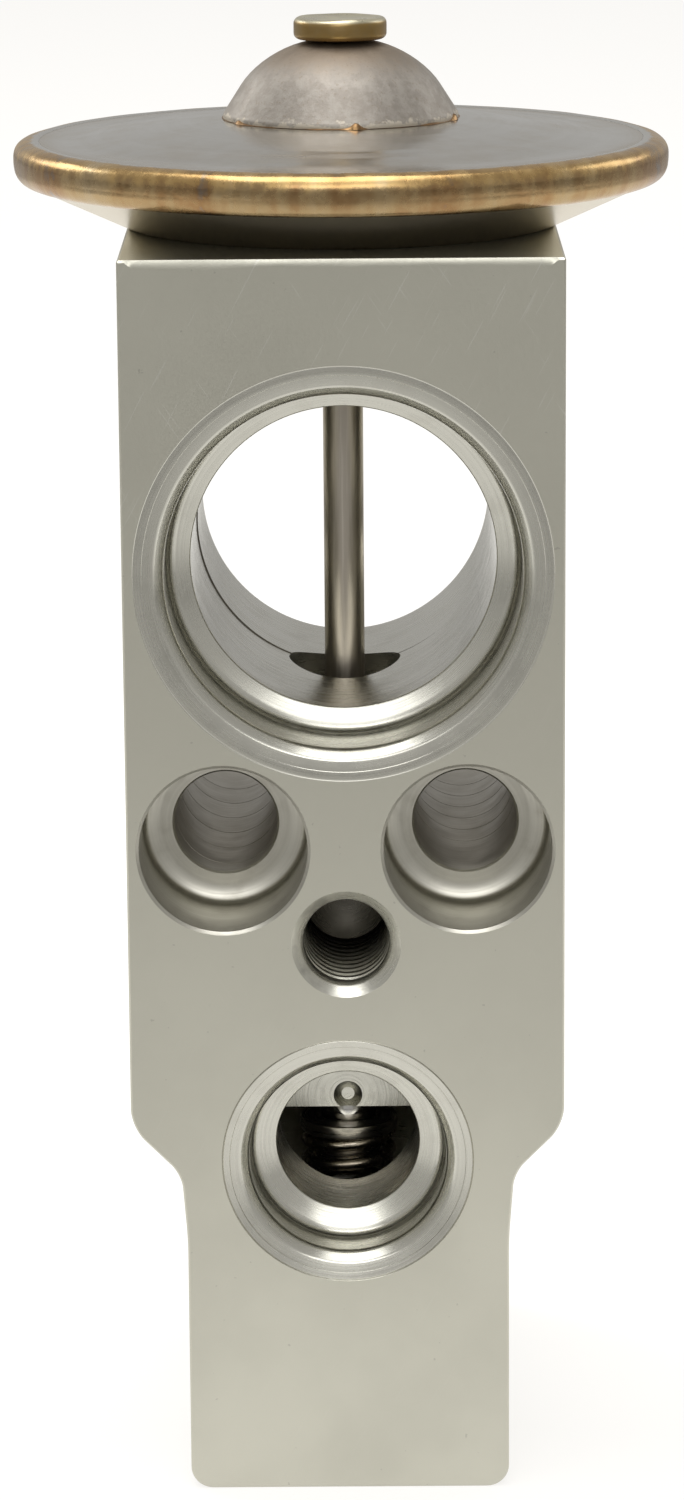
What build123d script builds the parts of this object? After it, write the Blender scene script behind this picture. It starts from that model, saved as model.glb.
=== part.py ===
from build123d import *

import os
from dataclasses import dataclass
from math import atan2, radians, sin, sqrt, tan

# Lengths in millimetres, angles in degrees.
# Origin at the middle of the foot's underside, +Z up, the front face looks along -Y.

# Block
block_width = 29.0
block_depth = 38.0
block_height = 84.0
foot_width = 21.6
shoulder_height = 25.65
shoulder_angle = 45.0
shoulder_round_share = 0.27
shoulder_blend_share = 0.22
neck_flare = 0.36
neck_length = 4.6
neck_round = 24.0
foot_corner = 1.5
top_break = 0.35
edge_break = 0.15

# Suction passage, with the same port in the front and the rear face
suction_height = 63.23
suction_bore_radius = 10.18
suction_pilot_radius = 11.8
suction_pilot_depth = 5.6
suction_lead_width = 0.48
suction_lead_depth = 0.85
suction_dish_width = 1.55
suction_dish_depth = 0.25
suction_root_round = 0.75

# Liquid ports: inlet in the front face, outlet in the rear face
inlet_height = 23.22
inlet_depth = 15.2
outlet_height = 29.8
outlet_overrun = 2.2
liquid_bore_radius = 4.83
liquid_pilot_radius = 6.64
liquid_pilot_depth = 4.15
liquid_lead_width = 0.5
liquid_lead_depth = 0.6
liquid_dish_width = 1.32
liquid_dish_depth = 0.42
liquid_root_round = 0.65
port_floor_angle = 15.0
centre_mark_radius = 1.0
centre_mark_depth = 0.5

# Bolt holes through the block and the stud hole between them
bolt_height = 44.74
bolt_spacing = 16.2
bolt_hole_radius = 3.5
counterbore_radius = 5.59
counterbore_depth = 8.0
counterbore_round = 0.6
stud_height = 38.26
stud_hole_radius = 2.85
stud_hole_depth = 12.0
stud_mouth_chamfer = 0.65
drill_point_angle = 118.0

# Operating rod and its seal in the floor of the suction passage
rod_radius = 1.375
rod_gap = 0.03
rod_tip_radius = 1.0
rod_tip_length = 3.1
rod_edge_break = 0.2
rod_socket_depth = 3.5
recess_radius = 3.85
recess_depth = 2.05
retainer_thickness = 0.5
retainer_hole_gap = 0.35
rod_seal_section = 0.95
seal_gap = 0.03

# Valve seat, ball and carrier
orifice_radius = 1.7
chamber_radius = 8.0
chamber_drop = 0.83
ball_radius = 2.0
contact_gap = 0.03
carrier_flange_radius = 3.4
carrier_flange_thickness = 0.95
carrier_flange_drop = 0.62
carrier_boss_radius = 2.3
carrier_boss_length = 2.2

# Sides of the round sections of the coil and the sealing rings, few to keep them light
section_sides = 8

# Superheat spring
spring_wire_radius = 0.45
spring_mean_radius = 2.9
spring_pitch = 1.45

# Adjusting screw in the foot
screw_recess = 1.0
screw_length = 12.0
screw_thread_length = 6.5
thread_bore_radius = 8.5
thread_gap = 0.05
screw_rise = 1.0
thread_runout = 0.4
screw_edge_break = 0.6
pilot_gap = 0.1
screw_seal_section = 0.8
screw_seal_height = 10.2
groove_play = 0.2
spring_pocket_gap = 0.35
spring_pocket_depth = 5.0
hex_flats = 8.0
hex_depth = 4.5
foot_mouth_chamfer = 0.5

# Power head, heights above the block's top
head_radius = 22.17
rim_bead_radius = 1.21
rim_height = 4.57
rim_lap = 0.56
clamp_width = 1.6
clamp_drop = 0.12
lower_shell_wall = 0.8
lower_shell_flat_radius = 14.6
lower_shell_round = 1.0
upper_shell_wall = 0.9
upper_shell_crown = 7.4
upper_shell_dome = 100.0
upper_shell_dome_edge = 18.0
upper_shell_edge_height = 5.58
diaphragm_thickness = 0.2
diaphragm_wave_height = 0.4
diaphragm_wave_inner = 13.6
diaphragm_wave_outer = 17.6
braze_gap = 0.03

# Hub, thrust plate and head seal
hub_neck_radius = 9.0
hub_neck_length = 8.0
hub_spigot_radius = 9.5
hub_collar_radius = 11.0
hub_collar_height = 1.2
hub_bore_radius = 5.5
hub_floor_gap = 0.5
head_seal_section = 0.8
head_seal_groove_play = 0.08
plate_radius = 12.5
plate_thickness = 1.2
plate_boss_radius = 4.2
plate_boss_length = 8.2

# Charge boss and plug
boss_radius = 7.95
boss_top_radius = 4.8
boss_top_height = 12.3
boss_top_round = 3.6
boss_spigot_radius = 2.5
charge_hole_radius = 1.0
plug_radius = 3.14
plug_height = 1.5
plug_round = 0.5
plug_stem_length = 3.0

# Heights and places that follow from the sizes above
front = -block_depth / 2
rear = block_depth / 2
overshoot = 1.0
passage_floor = suction_height - suction_bore_radius
retainer_top = passage_floor - recess_depth
rod_seal_top = retainer_top - retainer_thickness
rod_seal_pocket_radius = rod_radius + rod_gap + 2 * (rod_seal_section + seal_gap)
rod_seal_height = rod_seal_top - seal_gap - rod_seal_section
rod_seal_floor = rod_seal_height - rod_seal_section - seal_gap
chamber_top = inlet_height - chamber_drop
ball_height = chamber_top - sqrt(ball_radius ** 2 - orifice_radius ** 2) - contact_gap
ball_top = ball_height + ball_radius
carrier_top = ball_height - carrier_flange_drop
carrier_seat = carrier_top - carrier_flange_thickness
screw_top = screw_recess + screw_length
spring_floor = screw_top - spring_pocket_depth
thread_bore_top = screw_recess + screw_thread_length + screw_rise + thread_runout
screw_pilot_radius = chamber_radius - pilot_gap
rim_radius = head_radius - rim_bead_radius
upper_shell_radius = rim_radius - rim_lap
clamp_height = block_height + rim_height - clamp_drop
clamp_radius = upper_shell_radius - clamp_width
plate_top = clamp_height - contact_gap
plate_underside = plate_top - plate_thickness
rod_top = plate_underside - plate_boss_length + rod_socket_depth
head_seal_radius = hub_neck_radius + seal_gap + head_seal_section
head_seal_pocket_radius = head_seal_radius + head_seal_section + head_seal_groove_play
head_seal_pocket_depth = 2 * head_seal_section + head_seal_groove_play


@dataclass(frozen=True)
class Port:
    """Turned pipe port: radii, and depths measured from the block's face."""

    bore_radius: float
    bore_depth: float
    pilot_radius: float
    pilot_depth: float
    lead_width: float
    lead_depth: float
    dish_width: float
    dish_depth: float
    root_round: float
    end_mark: bool = False


def nearest_corner(face, corner):
    """Vertex of the face that lies closest to a point."""
    return face.vertices().sort_by_distance((*corner, 0))[0]


def turned(points, rounds=(), breaks=()):
    """Solid of revolution about Z from its half outline of (radius, height) points.

    Each entry of rounds and breaks is a corner of the outline and the size of its round or chamfer.
    """
    face = make_face(Polyline(*points, close=True))
    for corner, size in rounds:
        face = fillet(nearest_corner(face, corner), size)
    for corner, size in breaks:
        face = chamfer(nearest_corner(face, corner), size)
    return revolve(Plane.XZ * face, Axis.Z)


def ring(section_radius, centre_radius, height):
    """Sealing ring about the rod's axis."""
    section = Pos(centre_radius, height) * RegularPolygon(section_radius, section_sides)
    return revolve(Plane.XZ * section, Axis.Z)


def on_front(x, z):
    """Plane in the front face, looking out of the block."""
    return Plane(origin=(x, front, z), x_dir=(1, 0, 0), z_dir=(0, -1, 0))


def on_rear(x, z):
    """Plane in the rear face, looking out of the block."""
    return Plane(origin=(x, rear, z), x_dir=(-1, 0, 0), z_dir=(0, 1, 0))


def port_cutter(port):
    """Tool shape of a port, with its mouth at Z = 0 and its bore downwards."""
    lead_radius = port.pilot_radius + port.lead_width
    mouth_radius = lead_radius + port.dish_width
    floor_drop = (port.pilot_radius - port.bore_radius) * tan(radians(port_floor_angle))
    end_mark = [(centre_mark_radius, -port.bore_depth)] if port.end_mark else []
    end_depth = port.bore_depth + (centre_mark_depth if port.end_mark else 0)
    root = (port.pilot_radius, -port.pilot_depth)
    outline = [
        (0, overshoot),
        (mouth_radius, overshoot),
        (mouth_radius, 0),
        (lead_radius, -port.dish_depth),
        (port.pilot_radius, -port.dish_depth - port.lead_depth),
        root,
        (port.bore_radius, -port.pilot_depth - floor_drop),
        (port.bore_radius, -port.bore_depth),
        *end_mark,
        (0, -end_depth),
    ]
    return turned(outline, rounds=[(root, port.root_round)])


def drilled(radius, depth, mouth_chamfer=0.0):
    """Tool shape of a blind drilled hole, with its mouth at Z = 0 and its point downwards."""
    point = radius / tan(radians(drill_point_angle / 2))
    outline = [
        (0, overshoot),
        (radius + mouth_chamfer, overshoot),
        (radius + mouth_chamfer, 0),
        (radius, -mouth_chamfer),
        (radius, -depth),
        (0, -depth - point),
    ]
    return turned(outline)


def bolt_cutter():
    """Tool shape of a through hole with its counterbore, mouth at Z = 0."""
    root = (counterbore_radius, -counterbore_depth)
    outline = [
        (0, overshoot),
        (counterbore_radius, overshoot),
        root,
        (bolt_hole_radius, -counterbore_depth),
        (bolt_hole_radius, -block_depth - overshoot),
        (0, -block_depth - overshoot),
    ]
    return turned(outline, rounds=[(root, counterbore_round)])


def axis_cutter():
    """Tool shape of everything bored along the rod's axis, from the head's thread to the foot."""
    neck_hole = hub_neck_radius + thread_gap
    neck_floor = block_height - hub_neck_length - hub_floor_gap
    rod_hole = rod_radius + rod_gap
    outlet_floor = outlet_height - liquid_bore_radius
    outline = [
        (0, block_height + overshoot),
        (head_seal_pocket_radius, block_height + overshoot),
        (head_seal_pocket_radius, block_height - head_seal_pocket_depth),
        (neck_hole, block_height - head_seal_pocket_depth),
        (neck_hole, neck_floor),
        (hub_bore_radius, neck_floor),
        (hub_bore_radius, suction_height),
        (recess_radius, suction_height),
        (recess_radius, rod_seal_top),
        (rod_seal_pocket_radius, rod_seal_top),
        (rod_seal_pocket_radius, rod_seal_floor),
        (rod_hole, rod_seal_floor),
        (rod_hole, outlet_floor + liquid_bore_radius),
        (orifice_radius, outlet_floor + liquid_bore_radius),
        (orifice_radius, chamber_top),
        (chamber_radius, chamber_top),
        (chamber_radius, thread_bore_top),
        (thread_bore_radius, thread_bore_top),
        (thread_bore_radius, foot_mouth_chamfer),
        (thread_bore_radius + foot_mouth_chamfer, 0),
        (thread_bore_radius + foot_mouth_chamfer, -overshoot),
        (0, -overshoot),
    ]
    return turned(outline)


def block_blank():
    """Bar with a narrow foot that flares a little into a sloping shoulder, all outer edges broken."""
    half = block_width / 2
    foot = foot_width / 2
    neck = foot + neck_flare
    slope_start = shoulder_height - (half - neck) * tan(radians(shoulder_angle))
    slope_length = (half - neck) / sin(radians(shoulder_angle))
    round_span = slope_length / tan(radians(shoulder_angle) / 2)
    right = [
        (foot, 0), (foot, slope_start - neck_length), (neck, slope_start), (half, shoulder_height),
        (half, block_height),
    ]
    left = [(-x, z) for x, z in reversed(right)]
    face = make_face(Polyline(*right, *left, close=True))
    for side in (-1, 1):
        face = fillet(nearest_corner(face, (side * foot, 0)), foot_corner)
        face = fillet(nearest_corner(face, (side * foot, slope_start - neck_length)), neck_round)
        face = fillet(nearest_corner(face, (side * neck, slope_start)), shoulder_blend_share * round_span)
        face = fillet(nearest_corner(face, (side * half, shoulder_height)), shoulder_round_share * round_span)
    blank = extrude(Plane.XZ * face, block_depth / 2, both=True)
    blank = chamfer(blank.faces().sort_by(Axis.Z)[-1].edges(), top_break)
    end_faces = blank.faces().filter_by(Axis.Y).sort_by(Axis.Y)
    outline = end_faces[0].edges() + end_faces[-1].edges()
    sides = [edge for edge in outline if edge.center().Z < block_height - 2 * top_break]
    return chamfer(sides, edge_break)


def valve_body():
    """Block with its ports, bolt holes and the borings along the rod's axis."""
    suction = Port(
        suction_bore_radius, block_depth / 2 + overshoot, suction_pilot_radius, suction_pilot_depth,
        suction_lead_width, suction_lead_depth, suction_dish_width, suction_dish_depth, suction_root_round,
    )
    liquid = (
        liquid_pilot_radius, liquid_pilot_depth, liquid_lead_width, liquid_lead_depth,
        liquid_dish_width, liquid_dish_depth, liquid_root_round,
    )
    inlet = Port(liquid_bore_radius, inlet_depth, *liquid, end_mark=True)
    outlet = Port(liquid_bore_radius, rear + outlet_overrun, *liquid)
    body = block_blank()
    body -= on_front(0, suction_height) * port_cutter(suction)
    body -= on_rear(0, suction_height) * port_cutter(suction)
    body -= on_front(0, inlet_height) * port_cutter(inlet)
    body -= on_rear(0, outlet_height) * port_cutter(outlet)
    for side in (-1, 1):
        body -= on_front(side * bolt_spacing / 2, bolt_height) * bolt_cutter()
    body -= on_front(0, stud_height) * drilled(stud_hole_radius, stud_hole_depth, stud_mouth_chamfer)
    return body - axis_cutter()


def lower_shell_slope():
    """Angle of the lower shell's cone, from the edge of its flat to the underside of the bead."""
    rise = rim_height - rim_bead_radius
    return atan2(rise, rim_radius - lower_shell_flat_radius)


def head_lower_cover():
    """Dished lower shell, its inside stepped for the diaphragm, closed by the bead round the rim."""
    slope = lower_shell_slope()
    pocket = upper_shell_radius + braze_gap
    bead_inset = rim_radius - pocket
    bead_top = rim_height + sqrt(rim_bead_radius ** 2 - bead_inset ** 2)
    seat = clamp_height - block_height
    inner_corner = lower_shell_flat_radius - lower_shell_wall * tan(slope / 2)
    step = lower_shell_wall + (clamp_radius - inner_corner) * tan(slope)
    flat_corner = (lower_shell_flat_radius, 0)
    arc = ThreePointArc(
        (rim_radius, rim_height - rim_bead_radius),
        (head_radius, rim_height),
        (pocket, bead_top),
    )
    run = Polyline(
        (pocket, bead_top), (pocket, seat), (clamp_radius, seat), (clamp_radius, step),
        (inner_corner, lower_shell_wall), (hub_spigot_radius, lower_shell_wall),
        (hub_spigot_radius, 0), flat_corner, (rim_radius, rim_height - rim_bead_radius),
    )
    face = make_face(run.edges() + arc.edges())
    face = fillet(nearest_corner(face, flat_corner), lower_shell_round)
    return Pos(0, 0, block_height) * revolve(Plane.XZ * face, Axis.Z)


def dome_height(radius, drop=0.0):
    """Height of the upper shell's dome at a radius, above the block's top."""
    sphere = upper_shell_dome - drop
    return upper_shell_crown - upper_shell_dome + sqrt(sphere ** 2 - radius ** 2)


def dome_arc(inner, outer, drop=0.0):
    """Arc of the dome between two radii, or of a surface that lies a drop below it."""
    middle = (inner + outer) / 2
    return ThreePointArc(*[(radius, dome_height(radius, drop)) for radius in (inner, middle, outer)])


def head_upper_cover():
    """Shallow domed shell with a flat clamping edge and a hole for the charge boss."""
    hole = boss_spigot_radius + braze_gap
    edge = upper_shell_dome_edge
    flange = clamp_height - block_height + diaphragm_thickness
    top = dome_arc(hole, edge)
    under = dome_arc(hole, edge - upper_shell_wall, upper_shell_wall)
    rim = Polyline(
        top @ 1, (upper_shell_radius, upper_shell_edge_height), (upper_shell_radius, flange),
        (edge, flange), under @ 1,
    )
    wall = Line(under @ 0, top @ 0)
    face = make_face(top.edges() + rim.edges() + under.edges() + wall.edges())
    return Pos(0, 0, block_height) * revolve(Plane.XZ * face, Axis.Z)


def charge_boss():
    """Bell on the dome, with a spigot through the shell and the charging hole down its middle."""
    corner = (boss_top_radius, boss_top_height)
    under = dome_arc(boss_spigot_radius, boss_radius)
    foot = dome_height(boss_spigot_radius, upper_shell_wall)
    sides = Polyline(
        under @ 1, corner, (charge_hole_radius, boss_top_height), (charge_hole_radius, foot),
        (boss_spigot_radius, foot), under @ 0,
    )
    face = fillet(nearest_corner(make_face(sides.edges() + under.edges()), corner), boss_top_round)
    return Pos(0, 0, block_height + braze_gap) * revolve(Plane.XZ * face, Axis.Z)


def charge_plug():
    """Round plug on the boss, its stem in the charging hole."""
    seat = boss_top_height + 2 * braze_gap
    stem = charge_hole_radius - braze_gap
    top_edge = (plug_radius, seat + plug_height)
    outline = [
        (0, seat - plug_stem_length), (stem, seat - plug_stem_length), (stem, seat),
        (plug_radius, seat), top_edge, (0, seat + plug_height),
    ]
    return Pos(0, 0, block_height) * turned(outline, rounds=[(top_edge, plug_round)])


def wave_line(bottom):
    """Half section of one face of the diaphragm, from the axis out over its single wave."""
    wave_middle = (diaphragm_wave_inner + diaphragm_wave_outer) / 2
    crest = (wave_middle, bottom + diaphragm_wave_height)
    return [
        Line((0, bottom), (diaphragm_wave_inner, bottom)),
        ThreePointArc((diaphragm_wave_inner, bottom), crest, (diaphragm_wave_outer, bottom)),
        Line((diaphragm_wave_outer, bottom), (upper_shell_radius - braze_gap, bottom)),
    ]


def diaphragm():
    """Thin round sheet with one pressed wave, clamped between the two shells."""
    top = diaphragm_thickness
    edge = upper_shell_radius - braze_gap
    lower = wave_line(0)
    upper = wave_line(top)
    face = make_face([*lower, *upper, Line((0, 0), (0, top)), Line((edge, 0), (edge, top))])
    return Pos(0, 0, clamp_height) * revolve(Plane.XZ * face, Axis.Z)


def head_hub():
    """Threaded neck of the head, held in the lower shell by its spigot and inner collar."""
    collar_base = block_height + lower_shell_wall
    neck_end = block_height - hub_neck_length
    spigot = hub_spigot_radius - braze_gap
    outline = [
        (hub_bore_radius, neck_end), (hub_neck_radius, neck_end), (hub_neck_radius, block_height),
        (spigot, block_height), (spigot, collar_base), (hub_collar_radius, collar_base),
        (hub_collar_radius, collar_base + hub_collar_height),
        (hub_bore_radius, collar_base + hub_collar_height),
    ]
    return turned(outline, breaks=[((hub_neck_radius, neck_end), screw_edge_break)])


def head_seal_ring():
    """Ring between the neck and its pocket in the block's top."""
    middle = block_height - head_seal_pocket_depth / 2
    return ring(head_seal_section, head_seal_radius, middle)


def thrust_plate():
    """Plate under the diaphragm, with a boss down the hub that holds the rod."""
    boss_end = plate_underside - plate_boss_length
    socket = rod_radius + rod_gap
    outline = [
        (0, plate_top), (plate_radius, plate_top), (plate_radius, plate_underside),
        (plate_boss_radius, plate_underside), (plate_boss_radius, boss_end), (socket, boss_end),
        (socket, rod_top + contact_gap), (0, rod_top + contact_gap),
    ]
    return turned(outline, rounds=[((plate_radius, plate_underside), plate_thickness / 2)])


def operating_rod():
    """Rod from the thrust plate to the ball, with a slimmer tip through the orifice."""
    tip = ball_top + contact_gap
    shoulder = tip + rod_tip_length
    outline = [
        (0, tip), (rod_tip_radius, tip), (rod_tip_radius, shoulder), (rod_radius, shoulder),
        (rod_radius, rod_top), (0, rod_top),
    ]
    edges = [(rod_tip_radius, tip), (rod_radius, shoulder), (rod_radius, rod_top)]
    return turned(outline, breaks=[(edge, rod_edge_break) for edge in edges])


def rod_seal_ring():
    """Ring round the rod under the recess."""
    return ring(rod_seal_section, rod_radius + rod_gap + rod_seal_section, rod_seal_height)


def rod_seal_retainer():
    """Washer pressed into the recess over the rod's seal."""
    hole = rod_radius + retainer_hole_gap
    outer = recess_radius - braze_gap
    return turned([(hole, rod_seal_top), (outer, rod_seal_top), (outer, retainer_top), (hole, retainer_top)])


def valve_ball():
    """Ball under the orifice."""
    return Pos(0, 0, ball_height) * Sphere(ball_radius)


def ball_carrier():
    """Flanged cup that carries the ball on the spring."""
    boss_end = carrier_seat - carrier_boss_length
    outline = [
        (0, boss_end), (carrier_boss_radius, boss_end), (carrier_boss_radius, carrier_seat),
        (carrier_flange_radius, carrier_seat), (carrier_flange_radius, carrier_top), (0, carrier_top),
    ]
    carrier = turned(outline, breaks=[((carrier_boss_radius, boss_end), rod_edge_break)])
    return carrier - Pos(0, 0, ball_height) * Sphere(ball_radius + contact_gap)


def superheat_spring():
    """Compression spring with its ends ground flat, between the carrier and the screw's pocket."""
    low = spring_floor + contact_gap
    high = carrier_seat - contact_gap
    coil = Helix(spring_pitch, high - low + 2 * spring_pitch, spring_mean_radius)
    wire = Plane(origin=coil @ 0, z_dir=coil % 0) * RegularPolygon(spring_wire_radius, section_sides)
    turns = Pos(0, 0, low - spring_pitch) * sweep(wire, path=coil, is_frenet=True)
    outer = spring_mean_radius + 2 * spring_wire_radius
    length = high - low
    return turns & Pos(0, 0, low + length / 2) * Cylinder(outer, length)


def adjusting_screw():
    """Screw with a hexagon socket below, a ring groove round its pilot and the spring's pocket above."""
    thread = thread_bore_radius - thread_gap
    thread_end = screw_recess + screw_thread_length
    groove_middle = screw_recess + screw_seal_height
    groove_low = groove_middle - screw_seal_section - groove_play / 2
    groove_high = groove_middle + screw_seal_section + groove_play / 2
    groove = chamber_radius - 2 * (screw_seal_section + seal_gap)
    pocket = spring_mean_radius + spring_wire_radius + spring_pocket_gap
    outline = [
        (0, screw_recess), (thread, screw_recess), (thread, thread_end),
        (screw_pilot_radius, thread_end), (screw_pilot_radius, groove_low), (groove, groove_low),
        (groove, groove_high), (screw_pilot_radius, groove_high), (screw_pilot_radius, screw_top),
        (pocket, screw_top), (pocket, spring_floor), (0, spring_floor),
    ]
    edges = [(thread, screw_recess), (screw_pilot_radius, screw_top)]
    screw = turned(outline, breaks=[(edge, screw_edge_break) for edge in edges])
    socket = extrude(RegularPolygon(hex_flats / 2, 6, major_radius=False), hex_depth)
    return screw - Pos(0, 0, screw_recess) * socket


def screw_seal_ring():
    """Ring in the screw's groove, against the chamber's wall."""
    centre = chamber_radius - seal_gap - screw_seal_section
    return ring(screw_seal_section, centre, screw_recess + screw_seal_height)


def main():
    """Build every piece and write it to its own file."""
    pieces = [
        valve_body, head_lower_cover, head_upper_cover, charge_boss, charge_plug, diaphragm, head_hub,
        head_seal_ring, thrust_plate, operating_rod, rod_seal_ring, rod_seal_retainer, valve_ball,
        ball_carrier, superheat_spring, adjusting_screw, screw_seal_ring,
    ]
    os.makedirs("parts", exist_ok=True)
    for piece in pieces:
        name = piece.__name__
        export_step(piece(), f"parts/{name}.step")


main()
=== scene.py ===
"""Dressed model of a block-type expansion valve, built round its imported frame.

Lengths in the classes are millimetres, in the frame's own axes: the foot stands on Z = 0, the front
face looks along -Y and the rod's axis is the Z axis.
"""

import logging
import math
from dataclasses import dataclass, field, replace
from enum import Enum
from typing import Callable, Iterable, Sequence

import bmesh
import bpy
from mathutils import Matrix, Vector


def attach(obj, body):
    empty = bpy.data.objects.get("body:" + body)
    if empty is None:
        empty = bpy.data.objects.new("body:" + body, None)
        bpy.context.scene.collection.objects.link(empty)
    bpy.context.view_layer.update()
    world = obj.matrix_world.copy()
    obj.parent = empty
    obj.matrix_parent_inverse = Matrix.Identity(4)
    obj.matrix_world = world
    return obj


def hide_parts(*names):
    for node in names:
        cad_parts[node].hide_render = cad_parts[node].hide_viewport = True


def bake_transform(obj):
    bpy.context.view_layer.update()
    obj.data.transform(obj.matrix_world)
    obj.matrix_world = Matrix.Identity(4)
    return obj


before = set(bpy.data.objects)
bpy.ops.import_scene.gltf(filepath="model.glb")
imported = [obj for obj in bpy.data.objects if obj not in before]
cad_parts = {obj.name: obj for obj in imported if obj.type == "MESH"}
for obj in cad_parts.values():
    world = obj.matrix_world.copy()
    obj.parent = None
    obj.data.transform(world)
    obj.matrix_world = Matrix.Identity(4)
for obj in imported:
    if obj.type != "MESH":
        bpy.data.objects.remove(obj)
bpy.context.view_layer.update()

MM = 0.001
NEAR = 1e-4
FULL_TURN = 2 * math.pi
FINE_STEPS = 192
CUT_STEPS = 144
HEAD_STEPS = 256
ROD_STEPS = 96
THREAD_STEPS = 64
COIL_STEPS = 56
log = logging.getLogger("valve")

Point = tuple[float, float]
Place = tuple[float, float, float]
Colour = tuple[float, float, float]
Socket = bpy.types.NodeSocket
Value = Socket | float
Finish = bpy.types.Material
Piece = bpy.types.Object
Work = bmesh.types.BMesh


class Body(Enum):
    """Bodies of the frame that pieces ride on."""

    VALVE = "valve"
    ROD = "rod"
    BALL = "ball"
    SCREW_RING = "screw_ring"
    SCREW = "screw"


class Slot(Enum):
    """Names of material slots, passed along with the pieces but not used."""

    BLOCK = "block"
    LOWER_SHELL = "lower_shell"
    UPPER_SHELL = "upper_shell"
    BOSS = "boss"
    PLUG = "plug"
    SHEET = "sheet"
    HUB = "hub"
    PLATE = "plate"
    ROD = "rod"
    WASHER = "washer"
    BALL = "ball"
    CARRIER = "carrier"
    SPRING = "spring"
    SCREW = "screw"
    SEAL = "seal"


class Axis(Enum):
    """Axis that a turned surface runs round, as a mask of the two directions across it."""

    ALONG_Y = (1.0, 0.0, 1.0)
    ALONG_Z = (1.0, 1.0, 0.0)


class Look(Enum):
    """Which way a cut's mouth looks, as a turn about X."""

    FRONT = 90.0
    REAR = -90.0
    UP = 0.0


# Finishes


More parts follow.
